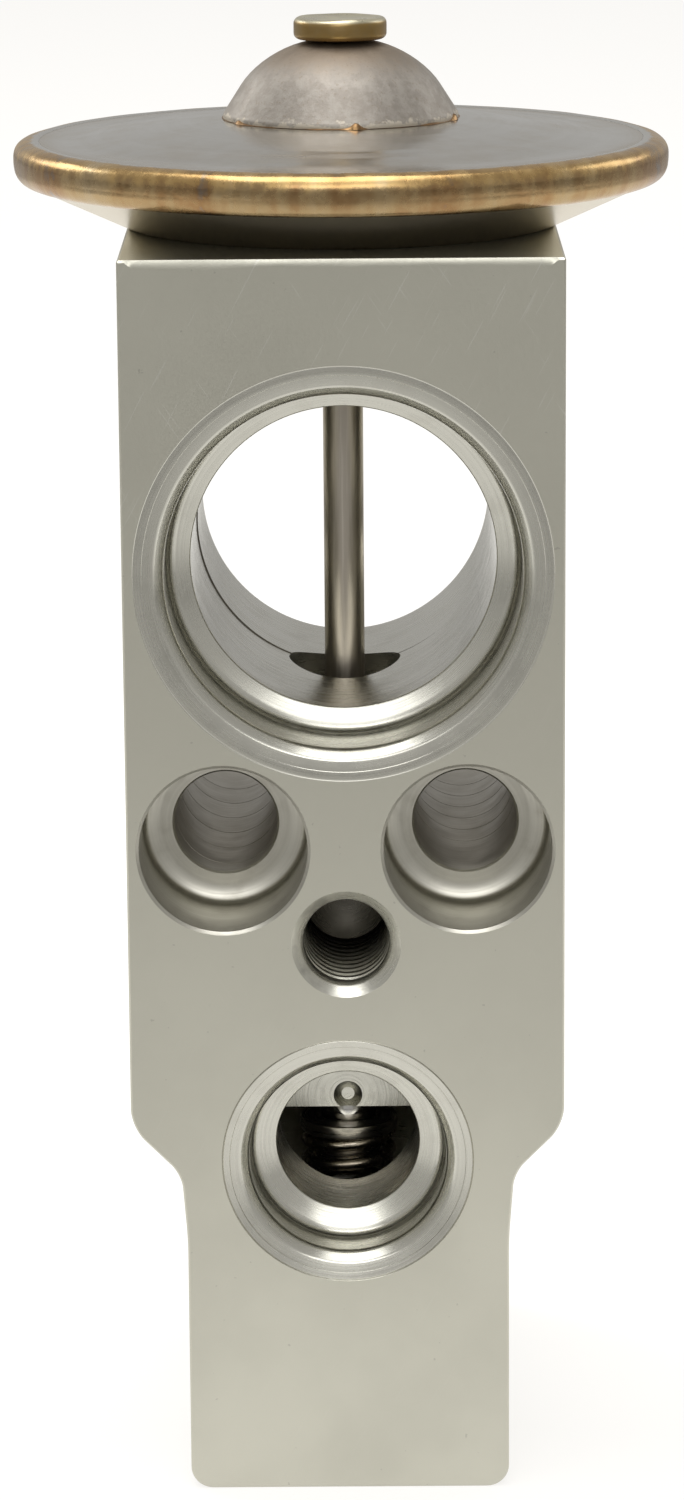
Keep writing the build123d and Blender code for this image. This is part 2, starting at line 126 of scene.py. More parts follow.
class Bench:
    """Node tree of one finish, with short ways to add and join its nodes."""

    def __init__(self, name: str) -> None:
        """Start a material with a shader and its output.

        Args:
            name: Name of the material.
        """
        self.material = bpy.data.materials.new(name)
        self.material.use_nodes = True
        self.nodes = self.material.node_tree.nodes
        self.links = self.material.node_tree.links
        self.nodes.clear()
        output = self.nodes.new("ShaderNodeOutputMaterial")
        self.shader = self.nodes.new("ShaderNodeBsdfPrincipled")
        self.links.new(self.shader.outputs["BSDF"], output.inputs["Surface"])
        self.place = self.scaled(self.nodes.new("ShaderNodeTexCoord").outputs["Object"], 1 / MM)

    def feed(self, socket: Socket, value: object) -> None:
        """Join a socket to another one, or set it.

        Args:
            socket: The input.
            value: An output socket, or a plain value.
        """
        if isinstance(value, bpy.types.NodeSocket):
            self.links.new(value, socket)
        else:
            socket.default_value = (*value, 1.0) if socket.type == "RGBA" else value

    def node(self, kind: str, inputs: dict[str | int, object], **settings: str) -> bpy.types.Node:
        """Add a node.

        Args:
            kind: Kind of the node.
            inputs: Sockets or plain values for its inputs.
            settings: Options of the node.

        Returns:
            The node.
        """
        node = self.nodes.new(f"ShaderNode{kind}")
        for name, choice in settings.items():
            setattr(node, name, choice)
        for name, value in inputs.items():
            self.feed(node.inputs[name], value)
        return node

    def across(self, vector: object, operation: str, other: object = (0.0, 0.0, 0.0)) -> Socket:
        """Return the result of a sum on two vectors, a length or else a vector."""
        node = self.node("VectorMath", {0: vector, 1: other}, operation=operation)
        return node.outputs["Value" if operation == "LENGTH" else "Vector"]

    def scaled(self, vector: object, factor: float) -> Socket:
        """Return a vector with its three parts multiplied by one factor."""
        return self.across(vector, "MULTIPLY", (factor,) * 3)

    def level(self, letter: str) -> Socket:
        """Return the place along X, Y or Z in millimetres."""
        return self.node("SeparateXYZ", {0: self.place}).outputs[letter]

    def sum(self, operation: str, first: Value, second: Value) -> Socket:
        """Return the result of one sum on two numbers."""
        return self.node("Math", {0: first, 1: second}, operation=operation).outputs[0]

    def span(self, value: Value, low: float, high: float, start: float = 0.0, end: float = 1.0) -> Socket:
        """Return a number whose range from low to high is mapped smoothly onto start to end."""
        inputs = {"Value": value, "From Min": low, "From Max": high, "To Min": start, "To Max": end}
        return self.node("MapRange", inputs, interpolation_type="SMOOTHSTEP").outputs["Result"]

    def noise(self, vector: object, scale: float, detail: float = 3.0, rough: float = 0.55,
              bend: float = 0.0) -> Socket:
        """Return soft noise from 0 to 1, with its bumps per millimetre, octaves, finer share and bend."""
        inputs = {"Vector": vector, "Scale": scale, "Detail": detail, "Roughness": rough, "Distortion": bend}
        return self.node("TexNoise", inputs).outputs["Fac"]

    def mix(self, share: Value, first: object, second: object) -> Socket:
        """Return a blend of two colours, with the share of the second one."""
        return self.node("Mix", {0: share, 6: first, 7: second}, data_type="RGBA").outputs[2]

    def bands(self, value: Value, stops: Sequence[tuple[float, Colour]]) -> Socket:
        """Colour read from a ramp.

        Args:
            value: Place on the ramp, 0 to 1.
            stops: Places and their colours.

        Returns:
            The colour.
        """
        node = self.node("ValToRGB", {"Fac": value})
        elements = node.color_ramp.elements
        while len(elements) < len(stops):
            elements.new(0.5)
        for element, (place, colour) in zip(elements, stops):
            element.position = place
            element.color = (*colour, 1.0)
        return node.outputs["Color"]

    def polar(self, axis: Axis = Axis.ALONG_Z,
              centre: Place = (0.0, 0.0, 0.0)) -> tuple[Socket, Socket, Socket]:
        """Place on a turned surface.

        Args:
            axis: Axis that the surface runs round.
            centre: A point on the axis.

        Returns:
            Distance from the axis, the direction away from it, and the place along it as a vector.
        """
        moved = self.across(self.place, "SUBTRACT", centre)
        flat = self.across(moved, "MULTIPLY", axis.value)
        along = self.across(moved, "MULTIPLY", tuple(1.0 - share for share in axis.value))
        return self.across(flat, "LENGTH"), self.across(flat, "NORMALIZE"), along

    def turned_marks(self, pitch: float, drift: float = 0.6, axis: Axis = Axis.ALONG_Z,
                     centre: Place = (0.0, 0.0, 0.0)) -> Socket:
        """Fine rings that a cutting tool leaves round an axis.

        Args:
            pitch: Rings per millimetre.
            drift: How much a ring changes on its way round.
            axis: Axis that the rings run round.
            centre: A point on the axis.

        Returns:
            Height of the marks, 0 to 1.
        """
        radius, away, along = self.polar(axis, centre)
        rings = self.node("CombineXYZ", {0: self.sum("MULTIPLY", radius, pitch)}).outputs[0]
        where = self.across(rings, "ADD", self.scaled(along, pitch))
        return self.noise(self.across(where, "ADD", self.scaled(away, drift)), 1.0, 2.0)

    def streaks(self, round_rate: float, length_rate: float) -> Socket:
        """Return streaks along a piece turned round Z, with their rates round it and along it."""
        _, away, along = self.polar()
        where = self.across(self.scaled(away, round_rate), "ADD", self.scaled(along, length_rate))
        return self.noise(where, 1.0, 3.0, 0.6)

    def relief(self, height: Value, depth: float, strength: float = 1.0,
               under: Socket | None = None) -> Socket:
        """Bumped normal.

        Args:
            height: Height, 0 to 1.
            depth: Millimetres between heights 0 and 1.
            strength: Share of the effect.
            under: Normal of a relief below this one.

        Returns:
            The normal.
        """
        inputs = {"Strength": strength, "Distance": depth * MM, "Height": height}
        if under is not None:
            inputs["Normal"] = under
        return self.node("Bump", inputs).outputs["Normal"]

    def shaded(self, inputs: dict[str, object]) -> Finish:
        """Return the material, with its shader's inputs fed."""
        for name, value in inputs.items():
            self.feed(self.shader.inputs[name], value)
        return self.material

    def done(self, colour: object, roughness: Value, normal: Socket, metallic: float = 1.0) -> Finish:
        """Return the material with its colour, roughness, normal and share of bare metal."""
        return self.shaded({"Base Color": colour, "Roughness": roughness, "Normal": normal,
                            "Metallic": metallic})


@dataclass(frozen=True)
class BarSkin:
    """Satin outer faces of the block: fine grain, handling scratches, pits and smudges."""

    name: str = "bar_skin"
    tone: Colour = (0.60, 0.588, 0.505)
    bare: Colour = (0.80, 0.79, 0.76)
    pitted: Colour = (0.30, 0.29, 0.26)
    roughness: float = 0.36
    grain: float = 0.004
    scratch: float = 0.006
    scratched_from: float = 55.0
    scratched_to: float = 72.0

    def scratches(self, bench: Bench, turn: float, seed: float, share: float) -> Socket:
        """Long thin scratches in one direction.

        Args:
            bench: Node bench of the finish.
            turn: Turn of the scratches about the front face's normal, in degrees.
            seed: Shift that gives another set.
            share: How many are kept, 0 to 1.

        Returns:
            1 on a scratch, 0 beside it.
        """
        turned = bench.node("Mapping", {"Vector": bench.place, "Location": (seed,) * 3,
                                        "Rotation": (0.0, math.radians(turn), 0.0)})
        drawn_out = bench.across(turned.outputs["Vector"], "MULTIPLY", (7.0, 1.0, 0.22))
        lines = bench.noise(drawn_out, 1.0, 1.0, 0.3, 0.2)
        return bench.span(lines, 0.80 - 0.14 * share, 0.86 - 0.12 * share)

    def build(self) -> Finish:
        """Return the material."""
        bench = Bench(self.name)
        cloud = bench.noise(bench.place, 0.09, 4.0)
        fine = bench.noise(bench.place, 7.0, 3.0, 0.7)
        upper = bench.span(bench.level("Z"), self.scratched_from, self.scratched_to)
        lines = bench.sum("MAXIMUM", self.scratches(bench, -28.0, 3.1, 0.9),
                          self.scratches(bench, 34.0, 9.7, 0.5))
        lines = bench.sum("MULTIPLY", lines, bench.span(upper, 0.0, 1.0, 0.12, 1.0))
        pits = bench.span(bench.noise(bench.place, 1.7, 2.0, 0.6), 0.735, 0.77)
        tone = bench.mix(bench.span(cloud, 0.3, 0.7), self.tone, tuple(0.93 * part for part in self.tone))
        tone = bench.mix(bench.sum("MULTIPLY", lines, 0.22), tone, self.bare)
        tone = bench.mix(bench.sum("MULTIPLY", pits, 0.35), tone, self.pitted)
        rough = bench.sum("ADD", bench.span(cloud, 0.25, 0.75, self.roughness - 0.03, self.roughness + 0.04),
                          bench.span(fine, 0.2, 0.8, -0.05, 0.05))
        normal = bench.relief(fine, self.grain)
        normal = bench.relief(bench.sum("SUBTRACT", 1.0, lines), self.scratch, 0.5, normal)
        return bench.done(tone, rough, normal)


@dataclass(frozen=True)
class Machined:
    """Turned or bored metal with the tool's rings round its axis and patches of dirt; where film_from and
    film_to are given, a painted shade darkens it deeper along Y, into its bore.
    """

    name: str
    tone: Colour
    roughness: float
    axis: Axis = Axis.ALONG_Z
    centre: Place = (0.0, 0.0, 0.0)
    pitch: float = 9.0
    depth: float = 0.0022
    dirt: float = 0.12
    dirt_tone: Colour = (0.30, 0.27, 0.22)
    film_from: float = 0.0
    film_to: float = 0.0

    def build(self) -> Finish:
        """Return the material."""
        bench = Bench(self.name)
        marks = bench.turned_marks(self.pitch, axis=self.axis, centre=self.centre)
        cloud = bench.noise(bench.place, 0.5, 4.0)
        tone = bench.mix(bench.span(marks, 0.3, 0.7), self.tone, tuple(0.94 * part for part in self.tone))
        tone = bench.mix(bench.span(cloud, 0.48, 0.75, 0.0, self.dirt), tone, self.dirt_tone)
        # Painted shade: the tone darkens along Y towards the inside of the bore, where shade falls.
        if self.film_to > self.film_from:
            film = bench.span(bench.level("Y"), self.film_from, self.film_to, 0.0, 0.85)
            tone = bench.mix(film, tone, self.dirt_tone)
        rough = bench.sum("ADD", bench.span(marks, 0.25, 0.75, self.roughness - 0.05, self.roughness + 0.05),
                          bench.span(cloud, 0.3, 0.7, -0.02, 0.04))
        return bench.done(tone, rough, bench.relief(marks, self.depth))


@dataclass(frozen=True)
class HeatTint:
    """Steel shell with a brazed bead in heat tint, greyish in places, over a smooth dull bowl; the bead's
    upper half has the gold tints as a painted highlight, its lower half the brown ones as a painted shade.
    """

    name: str = "lower_shell_tint"
    cover: Colour = (0.55, 0.54, 0.51)
    bowl: Colour = (0.60, 0.54, 0.42)
    lit_golds: tuple[Colour, ...] = ((0.27, 0.24, 0.20), (0.44, 0.275, 0.11), (0.56, 0.38, 0.165),
                                 (0.58, 0.46, 0.28))
    shaded_browns: tuple[Colour, ...] = ((0.23, 0.205, 0.18), (0.33, 0.195, 0.088), (0.42, 0.30, 0.155),
                                  (0.46, 0.36, 0.225))
    lit_gold_stops: tuple[float, ...] = (0.36, 0.44, 0.55, 0.7)
    shaded_brown_stops: tuple[float, ...] = (0.36, 0.43, 0.55, 0.7)
    roughness: float = 0.24
    bowl_roughness: float = 0.34
    bead_height: float = 88.57
    tint_radius: float = 20.8

    def build(self) -> Finish:
        """Return the material."""
        bench = Bench(self.name)
        radius, away, _ = bench.polar()
        patches = bench.noise(bench.scaled(away, 3.6), 1.0, 4.0, 0.65)
        flecks = bench.noise(bench.place, 0.9, 4.0, 0.6)
        height = bench.level("Z")
        level = bench.sum("ADD", height, bench.span(flecks, 0.3, 0.7, -0.3, 0.3))
        # Painted light: above the bead's middle the gold tints stand in for its highlight, below it the brown
        # tints for its shade.
        painted_light_share = bench.span(level, self.bead_height + 0.1, self.bead_height + 0.75)
        where = bench.sum("ADD", bench.sum("MULTIPLY", patches, 0.75), bench.sum("MULTIPLY", flecks, 0.25))
        lit_gold = bench.bands(where, list(zip(self.lit_gold_stops, self.lit_golds)))
        # brown: the bead's tints in painted shade, for its lower half.
        brown = bench.bands(where, list(zip(self.shaded_brown_stops, self.shaded_browns)))
        upper = bench.span(height, self.bead_height - 0.5, self.bead_height + 0.5)
        plain = bench.mix(upper, self.bowl, self.cover)
        edge = bench.sum("ADD", radius, bench.span(flecks, 0.3, 0.7, -0.1, 0.1))
        rim = bench.span(edge, self.tint_radius, self.tint_radius + 0.35)
        tone = bench.mix(rim, plain, bench.mix(painted_light_share, brown, lit_gold))
        rough = bench.sum("ADD", bench.span(rim, 0.0, 1.0, self.bowl_roughness, self.roughness),
                          bench.sum("MULTIPLY", rim, bench.span(flecks, 0.3, 0.7, -0.04, 0.08)))
        normal = bench.relief(bench.sum("MULTIPLY", flecks, rim), 0.03)
        normal = bench.relief(bench.turned_marks(3.0), 0.004, 0.6, normal)
        return bench.done(tone, rough, normal)


@dataclass(frozen=True)
class SpunDome:
    """Smooth pressed dome with faint rings and a tinted edge."""

    name: str = "upper_shell_dome"
    tone: Colour = (0.60, 0.585, 0.545)
    warm_tone: Colour = (0.46, 0.40, 0.31)
    roughness: float = 0.2
    warm_from: float = 18.6
    warm_to: float = 20.6

    def build(self) -> Finish:
        """Return the material."""
        bench = Bench(self.name)
        radius, _, _ = bench.polar()
        marks = bench.turned_marks(1.6, 1.2)
        cloud = bench.noise(bench.place, 0.25, 4.0)
        warm = bench.sum("MAXIMUM", bench.span(cloud, 0.4, 0.7, 0.0, 0.35),
                         bench.span(radius, self.warm_from, self.warm_to, 0.0, 0.7))
        rough = bench.sum("ADD", bench.span(cloud, 0.3, 0.7, self.roughness - 0.03, self.roughness + 0.05),
                          bench.span(marks, 0.3, 0.7, -0.03, 0.03))
        return bench.done(bench.mix(warm, self.tone, self.warm_tone), rough, bench.relief(marks, 0.018))


@dataclass(frozen=True)
class DrawnBell:
    """Dull blotched bell with faint streaks, brown spots, a brown top and a painted highlight on the lip at
    its foot.
    """

    name: str = "boss_bell"
    tone: Colour = (0.32, 0.29, 0.255)
    light: Colour = (0.405, 0.375, 0.335)
    brown: Colour = (0.24, 0.175, 0.11)
    lip_highlight: Colour = (0.66, 0.60, 0.50)
    roughness: float = 0.55
    base: float = 91.2
    top: float = 96.3

    def build(self) -> Finish:
        """Return the material."""
        bench = Bench(self.name)
        streaks = bench.streaks(9.0, 0.5)
        blotch = bench.noise(bench.place, 1.1, 5.0, 0.7)
        grain = bench.noise(bench.place, 5.0, 3.0, 0.6)
        level = bench.sum("ADD", bench.level("Z"), bench.span(blotch, 0.3, 0.7, -0.35, 0.35))
        cloud = bench.sum("ADD", bench.sum("MULTIPLY", streaks, 0.35), bench.sum("MULTIPLY", blotch, 0.65))
        near_foot = bench.span(level, self.base + 0.7, self.base)
        spots = bench.sum("MULTIPLY", bench.span(blotch, 0.60, 0.68), near_foot)
        tone = bench.mix(bench.span(cloud, 0.40, 0.62), self.tone, self.light)
        for share, colour in ((bench.span(grain, 0.58, 0.70, 0.0, 0.35), self.brown),
                              (bench.span(level, self.top - 2.4, self.top - 0.5, 0.0, 0.6), self.brown),
                              # Painted highlight: a pale band on the lip at the bell's foot.
                              (bench.span(level, self.base + 0.3, self.base + 0.05, 0.0, 0.7), self.lip_highlight),
                              (bench.sum("MULTIPLY", spots, 0.8), self.brown)):
            tone = bench.mix(share, tone, colour)
        rough = bench.sum("ADD", self.roughness, bench.span(streaks, 0.3, 0.7, -0.04, 0.05))
        return bench.done(tone, rough, bench.relief(blotch, 0.05, 0.5, bench.relief(grain, 0.012)))


@dataclass(frozen=True)
class Tarnished:
    """Small steel pieces with a blotchy tint."""

    name: str
    tone: Colour
    second: Colour
    roughness: float
    grain: float = 1.2
    depth: float = 0.02
    cap: Colour = (0.5, 0.5, 0.5)
    cap_height: float = 1000.0

    def build(self) -> Finish:
        """Return the material."""
        bench = Bench(self.name)
        blotch = bench.noise(bench.place, self.grain, 4.0, 0.6)
        fine = bench.noise(bench.place, 9.0, 2.0)
        tone = bench.mix(bench.span(blotch, 0.35, 0.65), self.tone, self.second)
        capped = bench.span(bench.level("Z"), self.cap_height - 0.15, self.cap_height + 0.05)
        rough = bench.sum("ADD", self.roughness, bench.span(blotch, 0.3, 0.7, -0.06, 0.08))
        normal = bench.relief(fine, 0.004, 0.6, bench.relief(blotch, self.depth))
        return bench.done(bench.mix(capped, tone, self.cap), rough, normal)


@dataclass(frozen=True)
class GroundRod:
    """Ground rod: fine rings and long faint streaks."""

    name: str = "rod_ground"
    tone: Colour = (0.48, 0.435, 0.37)
    light: Colour = (0.56, 0.515, 0.45)
    roughness: float = 0.34
    ring_rate: float = 14.0

    def build(self) -> Finish:
        """Return the material."""
        bench = Bench(self.name)
        _, _, along = bench.polar()
        streaks = bench.streaks(6.0, 0.12)
        rings = bench.noise(bench.scaled(along, self.ring_rate), 1.0, 2.0)
        tone = bench.mix(bench.span(streaks, 0.45, 0.7), self.tone, self.light)
        rough = bench.sum("ADD", self.roughness, bench.span(streaks, 0.3, 0.7, -0.05, 0.08))
        return bench.done(tone, rough, bench.relief(streaks, 0.01, 0.6, bench.relief(rings, 0.004)))


@dataclass(frozen=True)
class SealRubber:
    """Matt dark rubber."""

    name: str = "seal_rubber"
    tone: Colour = (0.018, 0.026, 0.020)
    light: Colour = (0.04, 0.045, 0.038)
    roughness: float = 0.6

    def build(self) -> Finish:
        """Return the material."""
        bench = Bench(self.name)
        fine = bench.noise(bench.place, 6.0, 3.0)
        tone = bench.mix(bench.span(fine, 0.35, 0.65), self.tone, self.light)
        rough = bench.span(fine, 0.3, 0.7, self.roughness - 0.08, self.roughness + 0.1)
        return bench.done(tone, rough, bench.relief(fine, 0.01), 0.0)


# Shapes


def mesh_from(work: Work, name: str, scale: float = MM) -> bpy.types.Mesh:
    """Close a bmesh into a mesh.

    Args:
        work: The bmesh, in millimetres.
        name: Name of the mesh.
        scale: Size of a millimetre in the mesh.

    Returns:
        The mesh.
    """
    mesh = bpy.data.meshes.new(name)
    work.to_mesh(mesh)
    work.free()
    mesh.transform(Matrix.Scale(scale, 4))
    return mesh


def placed(name: str, mesh: bpy.types.Mesh, finish: Finish | None = None, crease: float = 32.0) -> Piece:
    """Put a mesh into the scene as an object at the origin.

    Args:
        name: Name of the object.
        mesh: Its mesh.
        finish: Its material, where the mesh has none yet.
        crease: Edges that turn by more degrees than this stay sharp.

    Returns:
        The object.
    """
    if finish is not None:
        mesh.materials.append(finish)
    mesh.shade_smooth()
    mesh.set_sharp_from_angle(angle=math.radians(crease))
    piece = bpy.data.objects.new(name, mesh)
    bpy.context.scene.collection.objects.link(piece)
    return piece


def declare(piece: Piece, slot: Slot, *nodes: str) -> None:
    """Hide the nodes of the frame that a piece stands for, and report its faces.

    Args:
        piece: The piece.
        slot: Not used.
        nodes: Nodes of the frame.
    """
    if nodes:
        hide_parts(*nodes)
    log.info("%s: %d faces", piece.name, len(piece.data.polygons))


def seat(piece: Piece, body: Body, slot: Slot, *nodes: str) -> None:
    """Fix a piece to its body, hide the nodes that it stands for and log it."""
    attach(piece, body.value)
    declare(piece, slot, *nodes)


def cut(bar: Piece, tools: Sequence[Piece]) -> bpy.types.Mesh:
    """Cut tools out of a bar, and use all of them up.

    Args:
        bar: The bar, in millimetres.
        tools: The tools, in millimetres.

    Returns:
        The cut mesh, in metres.
    """
    for tool in tools:
        step = bar.modifiers.new(tool.name, "BOOLEAN")
        step.operation = "DIFFERENCE"
        step.solver = "EXACT"
        step.material_mode = "TRANSFER"
        step.object = tool
    bpy.context.view_layer.update()
    graph = bpy.context.evaluated_depsgraph_get()
    mesh = bpy.data.meshes.new_from_object(bar.evaluated_get(graph), depsgraph=graph)
    for spare in (bar, *tools):
        bpy.data.objects.remove(spare)
    mesh.transform(Matrix.Scale(MM, 4))
    return mesh


def bevel(work: Work, geom: list, size: float, affect: str = "EDGES", segments: int = 1,
          clamp: bool = False) -> None:
    """Bevel edges, or the corners of a flat face."""
    bmesh.ops.bevel(work, geom=geom, offset=size, offset_type="OFFSET", segments=segments, profile=0.5,
                    affect=affect, material=-1, clamp_overlap=clamp)


def wound(work: Work, pitch: float, turns: float, steps: int) -> Work:
    """Sweep the faces of a section up a helix about Z.

    Args:
        work: The section.
        pitch: Rise in one turn.
        turns: Number of turns.
        steps: Steps in one turn.

    Returns:
        The same bmesh, closed.
    """
    bmesh.ops.spin(work, geom=work.faces[:], cent=(0, 0, 0), axis=(0, 0, 1), dvec=(0, 0, pitch / steps),
                   angle=FULL_TURN * turns, steps=round(turns * steps), use_merge=False, use_duplicate=False)
    bmesh.ops.recalc_face_normals(work, faces=work.faces[:])
    return work


def groove(section: Sequence[Point], pitch: float, turns: float, start: float) -> Work:
    """Closed helical band that cuts a groove.

    Args:
        section: Outline of (radius, height) points.
        pitch: Rise in one turn.
        turns: Number of turns.
        start: Height of the first section.

    Returns:
        The band, in millimetres.
    """
    work = bmesh.new()
    work.faces.new([work.verts.new((radius, 0.0, start + height)) for radius, height in section])
    return wound(work, pitch, turns, THREAD_STEPS)


@dataclass
class Turning:
    """Turned shape, spun from its half outline of (radius, height) points in millimetres."""

    outline: Sequence[Point]
    rounds: dict[int, float] = field(default_factory=dict)
    breaks: dict[int, float] = field(default_factory=dict)
    steps: int = FINE_STEPS
    round_segments: int = 6

    def spun(self) -> Work:
        """Round and break the outline's corners and spin it about Z.

        Returns:
            A closed bmesh in millimetres.
        """
        work = bmesh.new()
        corners = [work.verts.new((radius, 0.0, height)) for radius, height in self.outline]
        work.faces.new(corners)
        for sizes, segments in ((self.rounds, self.round_segments), (self.breaks, 1)):
            for index, size in sizes.items():
                bevel(work, [corners[index]], size, "VERTICES", segments, True)
        bmesh.ops.delete(work, geom=work.faces[:], context="FACES_ONLY")
        on_axis = [edge for edge in work.edges if all(abs(vert.co.x) < 1e-7 for vert in edge.verts)]
        bmesh.ops.delete(work, geom=on_axis, context="EDGES")
        bmesh.ops.delete(work, geom=[vert for vert in work.verts if not vert.link_edges], context="VERTS")
        bmesh.ops.spin(work, geom=work.verts[:] + work.edges[:], cent=(0, 0, 0), axis=(0, 0, 1),
                       dvec=(0, 0, 0), angle=FULL_TURN, steps=self.steps, use_merge=True, use_duplicate=False)
        bmesh.ops.remove_doubles(work, verts=work.verts[:], dist=1e-5)
        bmesh.ops.recalc_face_normals(work, faces=work.faces[:])
        return work

    def piece(self, name: str, finish: Finish, body: Body, slot: Slot, *nodes: str,
              touch: Callable[[Work], None] | None = None, crease: float = 32.0) -> None:
        """Spin the shape, finish it and fix it to its body.

        Args:
            name: Name of the piece.
            finish: Its material.
            body: Body that it rides on.
            slot: Slot of the record, passed on but not used.
            nodes: Nodes of the frame that it stands for.
            touch: Further work on the spun shape.
            crease: Edges that turn by more degrees than this stay sharp.
        """
        work = self.spun()
        if touch is not None:
            touch(work)
        seat(placed(name, mesh_from(work, name), finish, crease), body, slot, *nodes)


@dataclass(frozen=True)
class PortSizes:
    """Turned pipe port: radii, and depths from the block's face."""

    bore: float
    depth: float
    pilot: float
    pilot_depth: float
    lead_width: float
    lead_depth: float
    dish_width: float
    dish_depth: float
    root: float
    mouth_mark: float = 0.07
    floor_angle: float = 19.0
    end_mark: float = 0.0

    def turning(self) -> Turning:
        """Return the port's tool shape, its mouth at Z = 0 and its bore downwards."""
        lead = self.pilot + self.lead_width
        mouth = lead + self.dish_width
        middle = lead + 0.55 * self.dish_width
        drop = (self.pilot - self.bore) * math.tan(math.radians(self.floor_angle))
        outline = [
            (0.0, 1.0), (mouth, 1.0), (mouth, 0.0), (mouth - 0.05, -self.mouth_mark), (mouth - 0.11, -0.02),
            (middle + 0.03, -0.38 * self.dish_depth), (middle, -0.5 * self.dish_depth),
            (lead, -self.dish_depth), (self.pilot, -self.dish_depth - self.lead_depth),
            (self.pilot, -self.pilot_depth), (self.bore, -self.pilot_depth - drop), (self.bore, -self.depth),
        ]
        end = self.depth
        if self.end_mark:
            end += 0.42
            outline += [(self.end_mark, -self.depth), (0.45 * self.end_mark, -end)]
        outline.append((0.0, -end))
        rounds = {7: 0.12, 8: 0.25, 9: self.root, 10: 0.12}
        return Turning(outline, rounds, steps=CUT_STEPS, round_segments=5)


@dataclass
class Block:
    """The aluminium block with its ports, bolt holes and axial borings.

    Each boring along the rod's axis, from head_seat to screw_thread, is its radius and its lower end.
    """

    width: float = 29.0
    depth: float = 38.0
    height: float = 84.0
    foot_width: float = 21.6
    shoulder: float = 25.65
    shoulder_round: float = 3.08
    shoulder_blend: float = 2.51
    neck_flare: float = 0.36
    neck_length: float = 4.6
    neck_round: float = 24.0
    foot_corner: float = 1.5
    edge_break: float = 0.12
    top_break: float = 0.16
    top_cuts: int = 58
    filed: float = 0.34
    suction_height: float = 63.23
    inlet_height: float = 23.22
    outlet_height: float = 29.8
    bolt_height: float = 44.74
    bolt_spacing: float = 16.2
    bolt_radius: float = 3.5
    bolt_pitches: tuple[float, float] = (4.3, 3.3)
    counterbore: float = 5.59
    counterbore_depth: float = 8.0
    stud_height: float = 38.26
    stud_radius: float = 2.85
    stud_depth: float = 12.0
    stud_pitch: float = 1.0
    drill_half_angle: float = 59.0
    head_seat: Point = (11.29, 82.32)
    head_thread: Point = (9.05, 75.5)
    plate_room: Point = (5.5, 63.23)
    washer_recess: Point = (3.85, 50.5)
    seal_groove: Point = (3.365, 48.54)
    rod_guide: Point = (1.405, 29.8)
    orifice: Point = (1.7, 22.39)
    spring_chamber: Point = (8.0, 8.9)
    screw_thread: Point = (8.5, 0.5)
    aluminium: Colour = (0.62, 0.61, 0.545)

    def top_edges(self, work: Work) -> list[bmesh.types.BMEdge]:
        """Return the edges that lie in the bar's top."""
        return [edge for edge in work.edges if all(vert.co.z > self.height - NEAR for vert in edge.verts)]

    def is_outer(self, edge: bmesh.types.BMEdge) -> bool:
        """Whether an edge is one of the bar's sharp outer edges below the filed one.

        Args:
            edge: The edge.

        Returns:
            True for an edge that gets the small break.
        """
        if not edge.is_manifold:
            return False
        below = max(vert.co.z for vert in edge.verts) < self.height - self.top_break - 0.02
        sharp = edge.calc_face_angle(0.0) > math.radians(60)
        upright = abs(edge.verts[0].co.z - edge.verts[1].co.z) > self.height / 2
        return sharp and below or upright

    def blank(self) -> Work:
        """Extruded bar with its foot narrowed, its edges broken and its top edge filed unevenly.

        Returns:
            The bar as a bmesh in millimetres.
        """
        half = self.width / 2
        foot = self.foot_width / 2
        neck = foot + self.neck_flare
        slope = self.shoulder - (half - neck)
        flare = math.atan2(self.neck_flare, self.neck_length)
        right = [(foot, 0.0), (foot, slope - self.neck_length), (neck, slope), (half, self.shoulder),
                 (half, self.height)]
        work = bmesh.new()
        left = [(-x, z) for x, z in reversed(right)]
        corners = [work.verts.new((x, -self.depth / 2, z)) for x, z in right + left]
        work.faces.new(corners)
        bends = ((self.foot_corner, math.pi / 2), (self.neck_round, flare),
                 (self.shoulder_blend, math.pi / 4 - flare), (self.shoulder_round, math.pi / 4))
        for index, (size, turn) in enumerate(bends):
            bevel(work, [corners[index], corners[-1 - index]], size * math.tan(turn / 2), "VERTICES", 10)
        grown = bmesh.ops.extrude_face_region(work, geom=work.faces[:])
        moved = [part for part in grown["geom"] if isinstance(part, bmesh.types.BMVert)]
        bmesh.ops.translate(work, verts=moved, vec=(0.0, self.depth, 0.0))
        bmesh.ops.recalc_face_normals(work, faces=work.faces[:])
        front_and_rear = [edge for edge in self.top_edges(work)
                          if abs(edge.verts[0].co.y - edge.verts[1].co.y) < NEAR]
        bmesh.ops.subdivide_edges(work, edges=front_and_rear, cuts=self.top_cuts, use_grid_fill=False)
        inner = [edge for edge in self.top_edges(work) if abs(edge.verts[0].co.y - edge.verts[1].co.y) > 1.0
                 and abs(edge.verts[0].co.x) < half - NEAR]
        bmesh.ops.dissolve_edges(work, edges=inner, use_verts=False)
        bevel(work, self.top_edges(work), self.top_break)
        self.file_unevenly(work)
        work.normal_update()
        bevel(work, [edge for edge in work.edges if self.is_outer(edge)], self.edge_break)
        bmesh.ops.recalc_face_normals(work, faces=work.faces[:])
        return work

    def file_unevenly(self, work: Work) -> None:
        """Vary the width of the filed chamfer along the front and rear top edges.

        Args:
            work: The bar.
        """
        for vert in work.verts:
            x, y, z = vert.co
            on_face = abs(abs(y) - self.depth / 2) < NEAR and abs(x) < self.width / 2 - 0.5
            if on_face and abs(z - self.height + self.top_break) < 0.02:
                wander = (0.04 * math.sin(0.55 * x + 1.0) + 0.02 * math.sin(1.9 * x)
                          + 0.01 * math.sin(5.1 * x + 0.7))
                swell = 0.16 * math.exp(-((x + 9.0) / 3.2) ** 2)
                vert.co.z -= self.filed + swell + wander

